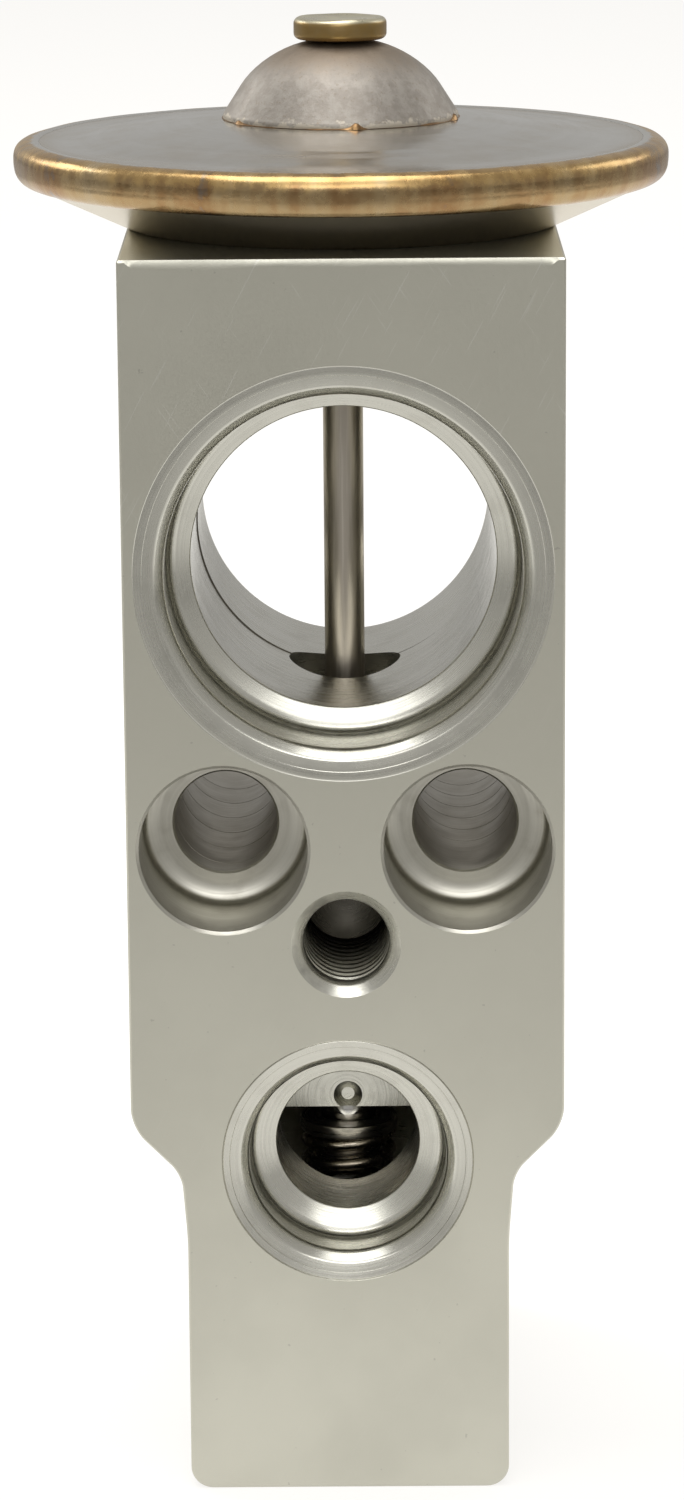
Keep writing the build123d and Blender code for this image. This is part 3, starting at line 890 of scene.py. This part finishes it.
    def cutter(self, work: Work, name: str, finish: Finish, look: Look, place: Place) -> Piece:
        """Place a tool shape for cutting.

        Args:
            work: Tool shape, its mouth at Z = 0.
            name: Name of the tool.
            finish: Finish that the cut takes.
            look: Which way the mouth looks.
            place: Middle of the mouth.

        Returns:
            The tool as an object, in millimetres.
        """
        mesh = mesh_from(work, name, 1.0)
        mesh.transform(Matrix.Rotation(math.radians(look.value), 4, "X"))
        mesh.transform(Matrix.Translation(place))
        return placed(name, mesh, finish)

    def bolt_shape(self) -> Turning:
        """Return the tool shape of a bolt hole with its counterbore."""
        bore, hole, floor, end = self.counterbore, self.bolt_radius, -self.counterbore_depth, -self.depth
        outline = [(0.0, 1.0), (bore + 0.2, 1.0), (bore + 0.2, 0.0), (bore, -0.2), (bore, floor + 0.45),
                   (4.78, floor + 0.06), (hole + 0.12, floor), (hole, floor - 0.12), (hole, end + 0.3),
                   (hole + 0.3, end), (hole + 0.3, end - 1.0), (0.0, end - 1.0)]
        return Turning(outline, {4: 0.35, 5: 0.5}, steps=CUT_STEPS)

    def stud_shape(self) -> Turning:
        """Return the tool shape of the stud hole."""
        radius, mouth = self.stud_radius, self.stud_radius + 0.8
        point = radius / math.tan(math.radians(self.drill_half_angle))
        outline = [(0.0, 1.0), (mouth, 1.0), (mouth, 0.0), (radius, -0.8), (radius, -self.stud_depth),
                   (0.0, -self.stud_depth - point)]
        return Turning(outline, {3: 0.3}, steps=CUT_STEPS)

    def axis_shape(self) -> Turning:
        """Return the tool shape of the borings along the rod's axis."""
        outline = [(0.0, self.height + 1.0), (11.34, self.height + 1.0), (11.34, self.height)]
        level = self.height - 0.1
        for radius, end in (self.head_seat, self.head_thread, self.plate_room, self.washer_recess,
                            self.seal_groove, self.rod_guide, self.orifice, self.spring_chamber,
                            self.screw_thread):
            outline += [(radius, level), (radius, end)]
            level = end
        return Turning([*outline, (9.0, 0.0), (9.0, -1.0), (0.0, -1.0)], steps=CUT_STEPS)

    def bored(self, name: str, place: Place, tone: Colour | None = None, roughness: float = 0.25,
              **looks: object) -> Finish:
        """Finish of a bore that runs along Y.

        Args:
            name: Name of the bore.
            place: A point on its axis.
            tone: Colour of its metal, where it isn't the block's.
            roughness: Its roughness.
            looks: Dirt of the finish, and the painted shade deeper in the bore.

        Returns:
            The material.
        """
        centre = (place[0], 0.0, place[2])
        tone = tone or self.aluminium
        return Machined(f"{name}_bored", tone, roughness, Axis.ALONG_Y, centre, **looks).build()

    def port_tools(self) -> Iterable[Piece]:
        """Tools of the four pipe ports, and of the groove where the two suction bores meet, whose dark tone
        is a painted shadow.

        Yields:
            The tools.
        """
        front, rear = -self.depth / 2, self.depth / 2
        suction = PortSizes(bore=10.18, depth=20.0, pilot=11.8, pilot_depth=5.6, lead_width=0.64,
                            lead_depth=0.68, dish_width=1.39, dish_depth=0.22, root=0.75, mouth_mark=0.03)
        inlet = PortSizes(bore=4.83, depth=15.2, pilot=6.64, pilot_depth=4.15, lead_width=0.60,
                          lead_depth=0.70, dish_width=1.22, dish_depth=0.36, root=0.65, end_mark=1.0)
        off_line = (0.09, rear, self.suction_height + 0.03)
        ports = (
            ("suction_front", suction, Look.FRONT, (0.0, front, self.suction_height)),
            ("suction_rear", replace(suction, depth=18.0), Look.REAR, off_line),
            ("inlet", inlet, Look.FRONT, (0.0, front, self.inlet_height)),
            ("outlet", replace(inlet, depth=21.2, end_mark=0.0), Look.REAR, (0.0, rear, self.outlet_height)),
        )
        for name, port, look, place in ports:
            yield self.cutter(port.turning().spun(), name, self.bored(name, place), look, place)
        meeting = (0.0, 1.0, self.suction_height)
        # Painted shadow: the groove's dark tone stands in for the shade in the step where the two bores meet.
        finish = self.bored("witness", meeting, (0.17, 0.155, 0.125), 0.45)
        witness = Turning([(9.9, -0.12), (10.23, -0.1), (10.23, 0.1), (9.9, 0.12)], steps=CUT_STEPS)
        yield self.cutter(witness.spun(), "witness", finish, Look.FRONT, meeting)

    def bolt_tools(self) -> Iterable[Piece]:
        """Tools of the two bolt holes and of the drilling marks in them.

        Yields:
            The tools.
        """
        hole = self.bolt_radius
        section = [(hole - 0.2, -0.18), (hole - 0.2, 0.18), (hole + 0.014, 0.08), (hole + 0.014, -0.08)]
        for side, name, pitch in zip((-1, 1), ("bolt_left", "bolt_right"), self.bolt_pitches):
            place = (side * self.bolt_spacing / 2, -self.depth / 2, self.bolt_height)
            # Painted shade: this finish darkens the bore past the counterbore's floor, deeper in the hole.
            finish = self.bored(name, place, (0.56, 0.545, 0.48), 0.36, dirt=0.3,
                                dirt_tone=(0.30, 0.275, 0.225), film_from=-11.5, film_to=-8.0)
            yield self.cutter(self.bolt_shape().spun(), name, finish, Look.FRONT, place)
            marks = groove(section, pitch, 6.0, -35.0)
            yield self.cutter(marks, f"{name}_marks", finish, Look.FRONT, place)

    def stud_tools(self) -> Iterable[Piece]:
        """Tools of the stud hole and its thread.

        Yields:
            The tools.
        """
        place = (0.0, -self.depth / 2, self.stud_height)
        # Painted shade: the very dark tone serves the dirt patches and the shade painted deeper in the hole.
        finish = self.bored("stud_hole", place, roughness=0.3, dirt=0.4, dirt_tone=(0.09, 0.08, 0.065),
                            film_from=-15.0, film_to=-8.0)
        yield self.cutter(self.stud_shape().spun(), "stud_hole", finish, Look.FRONT, place)
        inner, outer = self.stud_radius - 0.2, self.stud_radius + 0.22
        section = [(inner, -0.48), (inner, 0.48), (outer, 0.05), (outer, -0.05)]
        thread = groove(section, self.stud_pitch, 10.0, 0.4 - self.stud_depth)
        yield self.cutter(thread, "stud_thread", finish, Look.FRONT, place)

    def build(self) -> None:
        """Cut the bar and seat the block."""
        bar = placed("block_bar", mesh_from(self.blank(), "block_bar", 1.0), BarSkin().build())
        axial = Machined("axis_bored", self.aluminium, 0.3, dirt=0.35).build()
        tools = [*self.port_tools(), *self.bolt_tools(), *self.stud_tools(),
                 self.cutter(self.axis_shape().spun(), "axis_borings", axial, Look.UP, (0.0, 0.0, 0.0))]
        block = placed("block", cut(bar, tools), crease=24.0)
        flat_faces = block.modifiers.new("flat_faces", "WEIGHTED_NORMAL")
        flat_faces.mode = "FACE_AREA"
        flat_faces.keep_sharp = True
        seat(block, Body.VALVE, Slot.BLOCK, "valve_body")


def seal_ring(name: str, section: float, radius: float, height: float, rubber: Finish, body: Body) -> None:
    """Moulded sealing ring.

    Args:
        name: Name of the piece, which its node's name starts with.
        section: Radius of the section.
        radius: Radius of the section's middle.
        height: Height of the section's middle.
        rubber: Its material.
        body: Body that it rides on.
    """
    count = 28
    turns = [FULL_TURN * (index + 0.5) / count for index in range(count)]
    outline = [(radius + section * math.cos(turn), height + section * math.sin(turn)) for turn in turns]
    Turning(outline, steps=CUT_STEPS).piece(name, rubber, body, Slot.SEAL, f"{name}_ring")


@dataclass
class PowerHead:
    """Diaphragm head: two shells, the bell and its plug, and the parts held inside.

    Heights in its outlines are above the block's top.
    """

    seat_height: float = 84.0
    rim_radius: float = 20.96
    bead: float = 1.21
    bead_sag: float = 0.42
    bead_squareness: float = 0.8
    bead_points: int = 36
    rim_height: float = 4.57
    wall: float = 0.8
    flat_radius: float = 14.6
    pocket: float = 20.43
    clamp: float = 18.8
    clamp_height: float = 4.45
    shell_edge: float = 20.42
    crown: float = 7.4
    dome: float = 100.0
    dome_wall: float = 0.9
    bell_foot: float = 7.95
    bell_top: float = 12.3
    bell_round: float = 3.6
    plug_base: float = 12.36
    plug_height: float = 1.5

    def dome_height(self, radius: float, drop: float = 0.0) -> float:
        """Return the height of the dome, or of a surface a drop below it."""
        return self.crown - self.dome + math.sqrt((self.dome - drop) ** 2 - radius ** 2)

    def dome_line(self, inner: float, outer: float, drop: float = 0.0, count: int = 14) -> list[Point]:
        """Return points along the dome, or along a surface a drop below it, in a count of steps."""
        radii = [inner + (outer - inner) * step / count for step in range(count + 1)]
        return [(radius, self.dome_height(radius, drop)) for radius in radii]

    def raised(self, outline: Iterable[Point]) -> list[Point]:
        """Return an outline lifted from the block's top to its place."""
        return [(radius, height + self.seat_height) for radius, height in outline]

    def bead_point(self, turn: float) -> Point:
        """Return a point of the bead's section, which is squarish and hangs lower than it rises."""
        reach = self.bead if turn > 0 else self.bead + self.bead_sag
        rise = math.copysign(abs(math.sin(turn)) ** self.bead_squareness, turn)
        out = math.cos(turn) ** self.bead_squareness
        return self.rim_radius + self.bead * out, self.rim_height + reach * rise

    def lower_shell(self) -> None:
        """Dished shell with the bead round its rim."""
        flat = self.flat_radius
        slope = math.atan2(self.rim_height - self.bead, self.rim_radius - flat)
        bead_top = self.rim_height + self.bead - 0.06
        inner = flat - self.wall * math.tan(slope / 2)
        step = self.wall + (self.clamp - inner) * math.tan(slope)
        arc = [self.bead_point(math.pi / 2 - math.pi * index / self.bead_points)
               for index in range(self.bead_points + 1)]
        outline = [(self.pocket, bead_top), (20.7, bead_top + 0.045), *arc, (flat, 0.0), (9.5, 0.0),
                   (9.5, self.wall), (inner, self.wall), (self.clamp, step), (self.clamp, self.clamp_height),
                   (self.pocket, self.clamp_height)]
        shape = Turning(self.raised(outline), {len(arc) + 2: 0.25}, steps=HEAD_STEPS)
        shape.piece("lower_shell", HeatTint().build(), Body.VALVE, Slot.LOWER_SHELL, "head_lower_cover",
                    touch=self.crimp)

    def crimp(self, work: Work) -> None:
        """Make the bead slightly uneven, as a rolled and brazed edge is.

        Args:
            work: The shell.
        """
        for vert in work.verts:
            radius = math.hypot(vert.co.x, vert.co.y)
            rise = vert.co.z - self.seat_height - self.rim_height
            if radius > self.rim_radius + 0.05 and rise > -0.6:
                turn = math.atan2(vert.co.y, vert.co.x)
                sag = (0.5 + 0.22 * math.sin(5 * turn + 0.4) + 0.16 * math.sin(11 * turn + 1.9)
                       + 0.12 * math.sin(23 * turn + 0.3))
                share = min(1.0, (rise + 0.6) / 1.2) * min(1.0, (radius - self.rim_radius) / 0.5)
                vert.co.z -= 0.10 * sag * share
                pull = 1.0 - 0.03 * max(0.0, sag) * (1.0 - share) / radius
                vert.co.x *= pull
                vert.co.y *= pull

    def upper_shell(self) -> None:
        """Domed shell with two faint pressed rings and a flat clamping edge."""
        hole, edge, flange = 2.53, 18.0, 4.65
        top = [*self.dome_line(hole, 11.2), (11.6, self.dome_height(11.6) - 0.012),
               *self.dome_line(12.0, 14.6, count=4), (15.1, self.dome_height(15.1) - 0.035),
               *self.dome_line(15.6, edge, count=4)]
        under = self.dome_line(edge - self.dome_wall, hole, self.dome_wall)
        outline = [*top, (19.2, 5.735), (self.shell_edge, 5.715), (self.shell_edge, flange), (edge, flange),
                   *under]
        shape = Turning(self.raised(outline), steps=HEAD_STEPS)
        shape.piece("upper_shell", SpunDome().build(), Body.VALVE, Slot.UPPER_SHELL, "head_upper_cover")

    def bell(self) -> None:
        """Bell on the dome, hollow under the plug's stem."""
        foot, stem, hole = self.bell_foot, 1.0, 2.5
        under = self.dome_line(hole, foot, -0.03, 6)
        floor = self.dome_height(hole, self.dome_wall)
        outline = [*under, (foot + 0.02, self.dome_height(foot) + 0.28), (4.8, self.bell_top),
                   (stem, self.bell_top), (stem, floor), (hole, floor)]
        rounds = {len(under) + 1: self.bell_round, len(under): 0.14}
        shape = Turning(self.raised(outline), rounds, steps=HEAD_STEPS, round_segments=12)
        shape.piece("bell", DrawnBell().build(), Body.VALVE, Slot.BOSS, "charge_boss")

    def braze(self) -> None:
        """Uneven braze run round the bell's foot."""
        foot = self.bell_foot - 0.02
        level = self.seat_height + self.dome_height(foot)
        outline = [(foot - 0.3, level + 0.03), (foot + 0.16, level), (foot + 0.08, level + 0.08),
                   (foot - 0.04, level + 0.16), (foot - 0.3, level + 0.16)]
        finish = Tarnished("braze_metal", (0.34, 0.21, 0.10), (0.20, 0.12, 0.06), 0.34, 1.5, 0.03)
        Turning(outline, steps=HEAD_STEPS).piece("bell_braze", finish.build(), Body.VALVE, Slot.BOSS,
                                                 touch=self.let_run, crease=50.0)

    def let_run(self, work: Work) -> None:
        """Let the braze run wider and higher in places, with three drops.

        Args:
            work: The even run.
        """
        foot = self.bell_foot - 0.02
        level = self.seat_height + self.dome_height(foot)
        drops = ((-1.44, 0.045, 0.38), (-0.28, 0.07, 0.45), (-2.6, 0.05, 0.2))
        for vert in work.verts:
            turn = math.atan2(vert.co.y, vert.co.x)
            radius = math.hypot(vert.co.x, vert.co.y)
            drop = sum(size * math.exp(-((turn - where + math.pi) % FULL_TURN - math.pi) ** 2 / width ** 2)
                       for where, width, size in drops)
            wave = 0.12 * math.sin(7 * turn) + 0.08 * math.sin(17 * turn + 1.0) + 2.2 * drop - 0.2
            if radius > foot - 0.1:
                grow = 1 + wave * 0.6 * (radius - foot + 0.1) / radius
                vert.co.x *= grow
                vert.co.y *= grow
            if vert.co.z > level + 0.05:
                vert.co.z += wave * 0.35

    def plug(self) -> None:
        """Round plug on the bell, with its stem."""
        base, stem, radius = self.plug_base, 0.97, 3.14
        top = base + self.plug_height
        outline = [(0.0, base - 3.0), (stem, base - 3.0), (stem, base), (radius, base), (radius, top),
                   (2.35, top), (2.2, top - 0.05), (0.0, top - 0.05)]
        finish = Tarnished("plug_tint", (0.36, 0.235, 0.085), (0.33, 0.23, 0.10), 0.32, 0.8, 0.03,
                           (0.62, 0.575, 0.42), self.seat_height + top - 0.2)
        Turning(self.raised(outline), {3: 0.4, 4: 0.42}, {5: 0.06}).piece(
            "plug", finish.build(), Body.VALVE, Slot.PLUG, "charge_plug", touch=self.dent)

    def dent(self, work: Work) -> None:
        """Dent the plug's top a little.

        Args:
            work: The plug.
        """
        for vert in work.verts:
            if vert.co.z > self.seat_height + self.plug_base + 0.9:
                vert.co.z -= 0.05 + 0.05 * math.sin(1.1 * vert.co.x + 0.6) * math.sin(0.9 * vert.co.y + 1.0)

    def diaphragm(self) -> None:
        """Thin sheet with one pressed wave."""
        edge, level, start, end, steps = 20.37, self.clamp_height, 13.6, 17.6, 16
        wave = [(start + (end - start) * step / steps, level + 0.4 * math.sin(math.pi * step / steps))
                for step in range(1, steps)]
        lower = [(0.0, level), (start, level), *wave, (end, level), (edge, level)]
        upper = [(radius, height + 0.2) for radius, height in reversed(lower)]
        finish = Machined("sheet_rolled", (0.58, 0.57, 0.54), 0.22, pitch=2.0, depth=0.003).build()
        Turning(self.raised(lower + upper), steps=CUT_STEPS).piece(
            "diaphragm", finish, Body.VALVE, Slot.SHEET, "diaphragm")

    def hub(self) -> None:
        """Threaded neck under the lower shell."""
        bore, thread, flange = 5.5, 9.0, 11.0
        outline = [(bore, -8.0), (thread - 0.6, -8.0), (thread, -7.4)]
        for turn in range(6):
            crest = turn - 7.1
            outline += [(thread, crest), (thread - 0.28, crest + 0.3), (thread - 0.28, crest + 0.4),
                        (thread, crest + 0.7)]
        outline += [(thread, 0.0), (9.47, 0.0), (9.47, self.wall), (flange, self.wall), (flange, 2.0),
                    (bore, 2.0)]
        breaks = {len(outline) - 1: 0.2, len(outline) - 2: 0.2}
        finish = Machined("hub_turned", (0.5, 0.49, 0.46), 0.3).build()
        Turning(self.raised(outline), breaks=breaks).piece(
            "head_hub", finish, Body.VALVE, Slot.HUB, "head_hub")

    def plate(self) -> None:
        """Thrust plate with the boss that holds the rod."""
        top, edge, boss, rod, end = 4.42, 12.5, 4.2, 1.405, -4.98
        outline = [(0.0, top), (edge, top), (edge, top - 1.2), (boss, top - 1.2), (boss, end), (rod, end),
                   (rod, -1.45), (0.0, -1.45)]
        finish = Machined("plate_turned", (0.52, 0.51, 0.48), 0.28).build()
        Turning(self.raised(outline), {2: 0.6, 3: 0.3}, {4: 0.3, 5: 0.15, 1: 0.05}).piece(
            "thrust_plate", finish, Body.ROD, Slot.PLATE, "thrust_plate")

    def build(self, rubber: Finish) -> None:
        """Build the head.

        Args:
            rubber: Material of its seal.
        """
        for make in (self.lower_shell, self.upper_shell, self.bell, self.braze, self.plug, self.diaphragm,
                     self.hub, self.plate):
            make()
        seal_ring("head_seal", 0.8, 9.83, self.seat_height - 0.84, rubber, Body.VALVE)


@dataclass
class RodSet:
    """Operating rod with its seal and the washer that keeps the seal in."""

    radius: float = 1.375
    tip: float = 1.0
    tip_length: float = 3.1
    low: float = 23.336
    high: float = 82.52
    floor: float = 50.5
    washer_inner: float = 1.725
    washer_outer: float = 3.82
    washer_height: float = 0.5

    def build(self, rubber: Finish) -> None:
        """Build the pieces.

        Args:
            rubber: Material of the seal.
        """
        shoulder = self.low + self.tip_length
        outline = [(0.0, self.low), (self.tip, self.low), (self.tip, shoulder), (self.radius, shoulder),
                   (self.radius, self.high), (0.0, self.high)]
        Turning(outline, {1: 0.2, 3: 0.2, 4: 0.2}, steps=ROD_STEPS).piece(
            "operating_rod", GroundRod().build(), Body.ROD, Slot.ROD, "operating_rod")
        seal_ring("rod_seal", 0.95, 2.355, 49.52, rubber, Body.VALVE)
        inner, outer, top = self.washer_inner, self.washer_outer, self.floor + self.washer_height
        outline = [(inner, self.floor), (outer, self.floor), (outer, top), (inner, top)]
        finish = Tarnished("washer_pressed", (0.34, 0.31, 0.26), (0.22, 0.20, 0.16), 0.4, 1.4, 0.02).build()
        Turning(outline, {0: 0.08, 1: 0.08, 2: 0.08, 3: 0.12}, steps=ROD_STEPS).piece(
            "seal_washer", finish, Body.VALVE, Slot.WASHER, "rod_seal_retainer")


@dataclass
class SeatSet:
    """Ball, carrier and spring under the orifice."""

    ball_radius: float = 2.0
    ball_height: float = 21.306
    flange: float = 3.4
    stem: float = 2.3
    carrier_seat: float = 19.736
    spring_low: float = 8.03
    spring_high: float = 19.706
    wire: float = 0.45
    mean: float = 2.9
    pitch: float = 1.45

    def ball(self) -> None:
        """Polished ball."""
        work = bmesh.new()
        bmesh.ops.create_uvsphere(work, u_segments=96, v_segments=64, radius=self.ball_radius)
        bmesh.ops.translate(work, verts=work.verts[:], vec=(0.0, 0.0, self.ball_height))
        finish = Tarnished("ball_polished", (0.62, 0.61, 0.59), (0.55, 0.54, 0.51), 0.12, 0.7, 0.002).build()
        seat(placed("ball", mesh_from(work, "ball"), finish), Body.BALL, Slot.BALL, "valve_ball")

    def carrier(self) -> None:
        """Flanged cup under the ball."""
        low = self.carrier_seat
        top = low + 0.95
        end = low - 2.2
        cup = self.ball_radius + 0.03
        start = math.asin((top - self.ball_height) / cup)
        steps = 12
        turns = [start + (-math.pi / 2 - start) * index / steps for index in range(steps)]
        hollow = [(cup * math.cos(turn), self.ball_height + cup * math.sin(turn)) for turn in turns]
        outline = [(0.0, self.ball_height - cup), *reversed(hollow), (self.flange, top), (self.flange, low),
                   (self.stem, low), (self.stem, end), (0.0, end)]
        outer = steps + 1
        finish = Machined("carrier_turned", (0.46, 0.43, 0.37), 0.28).build()
        Turning(outline, {outer: 0.15, outer + 1: 0.15, outer + 3: 0.2}, steps=ROD_STEPS).piece(
            "ball_carrier", finish, Body.BALL, Slot.CARRIER, "ball_carrier")

    def coils(self, low: float, high: float) -> Work:
        """Stretch of the spring between two flat cuts.

        Args:
            low: Height of the lower cut.
            high: Height of the upper cut.

        Returns:
            The stretch, in millimetres.
        """
        work = bmesh.new()
        bmesh.ops.create_circle(work, cap_ends=True, radius=self.wire, segments=20)
        bmesh.ops.rotate(work, verts=work.verts[:], matrix=Matrix.Rotation(math.pi / 2, 3, "X"))
        bmesh.ops.translate(work, verts=work.verts[:], vec=(self.mean, 0.0, self.spring_low - self.pitch))
        wound(work, self.pitch, (self.spring_high - self.spring_low) / self.pitch + 2, COIL_STEPS)
        for level, inward in ((low, 1.0), (high, -1.0)):
            sliced = bmesh.ops.bisect_plane(work, geom=work.verts[:] + work.edges[:] + work.faces[:],
                                            dist=1e-5, plane_co=(0, 0, level), plane_no=(0, 0, inward),
                                            clear_inner=True)
            rim = [part for part in sliced["geom_cut"] if isinstance(part, bmesh.types.BMEdge)]
            bmesh.ops.holes_fill(work, edges=rim, sides=0)
        bmesh.ops.recalc_face_normals(work, faces=work.faces[:])
        return work

    def spring(self) -> None:
        """Spring with ground ends, made as an upper and a lower half, neither of which is fixed to a body."""
        finish = Tarnished("spring_wire", (0.42, 0.38, 0.31), (0.30, 0.26, 0.20), 0.26, 1.0, 0.01).build()
        middle = (self.spring_low + self.spring_high) / 2
        for name, end, body in (("spring_upper_coils", self.spring_high, Body.BALL),
                                ("spring_lower_coils", self.spring_low, Body.SCREW_RING)):
            piece = placed(name, mesh_from(self.coils(min(middle, end), max(middle, end)), name), finish)
            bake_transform(piece)
            declare(piece, Slot.SPRING, "superheat_spring")

    def build(self) -> None:
        """Build the pieces."""
        self.ball()
        self.carrier()
        self.spring()


@dataclass
class Adjuster:
    """Adjusting screw in the foot with its ring."""

    low: float = 1.0
    high: float = 13.0
    thread: float = 8.45
    thread_turns: int = 5
    pilot: float = 7.9
    groove: float = 6.34
    pocket: float = 3.7
    pocket_floor: float = 8.0
    key: float = 8.0
    socket_depth: float = 4.5

    def screw(self) -> None:
        """Screw with a hexagon socket below and the spring's pocket above."""
        thread, pilot = self.thread, self.pilot
        outline = [(0.0, self.low), (thread, self.low)]
        for turn in range(self.thread_turns):
            crest = self.low + 0.75 + turn
            outline += [(thread, crest), (thread - 0.3, crest + 0.3), (thread - 0.3, crest + 0.4),
                        (thread, crest + 0.7)]
        outline += [(thread, 7.5), (pilot, 7.5), (pilot, 10.3), (self.groove, 10.3), (self.groove, 12.1),
                    (pilot, 12.1), (pilot, self.high), (self.pocket, self.high),
                    (self.pocket, self.pocket_floor), (0.0, self.pocket_floor)]
        last = len(outline)
        work = Turning(outline, breaks={1: 0.45, last - 4: 0.5, last - 3: 0.15}).spun()
        finish = Machined("screw_turned", (0.50, 0.49, 0.46), 0.27, dirt=0.25).build()
        body = placed("screw_blank", mesh_from(work, "screw_blank", 1.0), finish)
        corner = self.key / 2 / math.cos(math.radians(30))
        reach = self.socket_depth + 1.0
        tool = bmesh.new()
        bmesh.ops.create_cone(tool, cap_ends=True, segments=6, radius1=corner, radius2=corner, depth=reach)
        middle = self.low + self.socket_depth - reach / 2
        bmesh.ops.translate(tool, verts=tool.verts[:], vec=(0.0, 0.0, middle))
        cutter = placed("key_socket", mesh_from(tool, "key_socket", 1.0), finish)
        seat(placed("screw", cut(body, [cutter])), Body.SCREW, Slot.SCREW, "adjusting_screw")

    def build(self, rubber: Finish) -> None:
        """Build the screw and its ring."""
        self.screw()
        seal_ring("screw_seal", 0.8, 7.17, 11.2, rubber, Body.SCREW_RING)


# Studio


@dataclass(frozen=True)
class SoftBox:
    """Soft rectangular lamp that points at a target."""

    name: str
    place: Place
    target: Place
    size: Point
    power: float

    def build(self) -> None:
        """Put the lamp into the scene."""
        lamp = bpy.data.lights.new(self.name, "AREA")
        lamp.shape = "RECTANGLE"
        lamp.size, lamp.size_y = self.size
        lamp.energy = self.power
        holder = bpy.data.objects.new(self.name, lamp)
        holder.location = self.place
        holder.rotation_euler = (Vector(self.target) - Vector(self.place)).to_track_quat("-Z", "Y").to_euler()
        bpy.context.scene.collection.objects.link(holder)


@dataclass
class Studio:
    """Pale floor, soft lamps and the camera."""

    camera_place: Place = (0.94, -348.88, 128.89)
    pitch: float = 0.2303
    yaw: float = 0.0034
    roll: float = 0.0078
    lens: float = 123.58
    floor_size: float = 6.0
    floor_tone: Colour = (0.30, 0.296, 0.288)
    glow_tone: Colour = (1.0, 0.99, 0.97)
    backdrop_tone: Colour = (1.0, 0.985, 0.96)
    seen_backdrop: Colour = (0.93, 0.93, 0.92)
    backdrop: float = 0.47
    near_glow: float = 0.84
    rear_glow: float = 0.17
    seen_glow: float = 0.75
    dark_place: Place = (0.0, -430.0, 0.0)
    dark_shape: Place = (1.0, 0.6, 1.0)

    def camera(self) -> None:
        """Place the camera at the photograph's viewing angle."""
        view = bpy.data.cameras.new("camera")
        view.lens = self.lens
        view.sensor_width = 36.0
        view.clip_start = 0.01
        view.clip_end = 50.0
        holder = bpy.data.objects.new("camera", view)
        turn = (Matrix.Rotation(self.yaw, 4, "Z") @ Matrix.Rotation(math.pi / 2 - self.pitch, 4, "X")
                @ Matrix.Rotation(-self.roll, 4, "Z"))
        holder.matrix_world = Matrix.Translation(Vector(self.camera_place) * MM) @ turn
        bpy.context.scene.collection.objects.link(holder)
        bpy.context.scene.camera = holder

    def floor_finish(self) -> Finish:
        """Pale floor that is bright under and behind the object and dimmer towards the front.

        Returns:
            The material.
        """
        bench = Bench("floor_pale")
        dark = bench.across(bench.place, "SUBTRACT", self.dark_place)
        dark = bench.across(bench.across(dark, "MULTIPLY", self.dark_shape), "LENGTH")
        spread = bench.across(bench.place, "LENGTH")
        glow = bench.sum("MULTIPLY", bench.span(dark, 70.0, 300.0),
                         bench.span(spread, 150.0, 480.0, self.near_glow, 0.0))
        glow = bench.sum("ADD", glow, bench.span(bench.level("Y"), 0.0, 300.0, 0.0, self.rear_glow))
        seen = bench.node("LightPath", {}).outputs["Is Camera Ray"]
        glow = bench.sum("MAXIMUM", glow, bench.sum("MULTIPLY", seen, self.seen_glow))
        return bench.shaded({"Emission Strength": glow, "Emission Color": self.glow_tone,
                             "Specular IOR Level": 0.0, "Base Color": self.floor_tone, "Roughness": 0.8})

    def floor(self) -> None:
        """Lay the floor."""
        work = bmesh.new()
        bmesh.ops.create_grid(work, x_segments=1, y_segments=1, size=self.floor_size / 2)
        placed("floor", mesh_from(work, "floor", 1.0), self.floor_finish())

    def world(self) -> None:
        """Grey surroundings that the metal reflects, plain white where the camera looks at them."""
        world = bpy.data.worlds.new("surroundings")
        bpy.context.scene.world = world
        world.use_nodes = True
        links = world.node_tree.links
        world.node_tree.nodes.clear()
        output, seen, mix, grey, white = (
            world.node_tree.nodes.new(f"ShaderNode{kind}")
            for kind in ("OutputWorld", "LightPath", "MixShader", "Background", "Background"))
        grey.inputs["Color"].default_value = (*self.backdrop_tone, 1.0)
        grey.inputs["Strength"].default_value = self.backdrop
        white.inputs["Color"].default_value = (*self.seen_backdrop, 1.0)
        for source, target in ((seen.outputs["Is Camera Ray"], mix.inputs[0]),
                               (grey.outputs[0], mix.inputs[1]), (white.outputs[0], mix.inputs[2]),
                               (mix.outputs[0], output.inputs["Surface"])):
            links.new(source, target)

    def build(self) -> None:
        """Build the studio."""
        self.camera()
        self.floor()
        self.world()
        for lamp in (
            SoftBox("overhead", (-0.1, -0.03, 1.0), (-0.1, -0.03, 0.05), (0.75, 0.92), 6.0),
            SoftBox("front_high", (0.0, -1.0, 0.55), (0.0, 0.0, 0.05), (0.7, 0.37), 2.0),
            SoftBox("front_fill", (0.0, -0.82, 0.95), (0.0, 0.0, 0.05), (0.8, 0.5), 1.3),
            SoftBox("left_back", (-0.85, 0.65, 0.62), (0.0, 0.0, 0.08), (0.5, 0.5), 2.6),
            SoftBox("right_back", (0.9, 0.6, 0.62), (0.0, 0.0, 0.08), (0.5, 0.5), 1.4),
        ):
            lamp.build()
        settings = bpy.context.scene.view_settings
        settings.view_transform = "Standard"
        settings.look = "None"


def main() -> None:
    """Build the studio and every piece."""
    logging.basicConfig(level=logging.INFO, format="%(name)s: %(message)s")
    Studio().build()
    rubber = SealRubber().build()
    Block().build()
    PowerHead().build(rubber)
    RodSet().build(rubber)
    SeatSet().build()
    Adjuster().build(rubber)


if __name__ == "__main__":
    main()
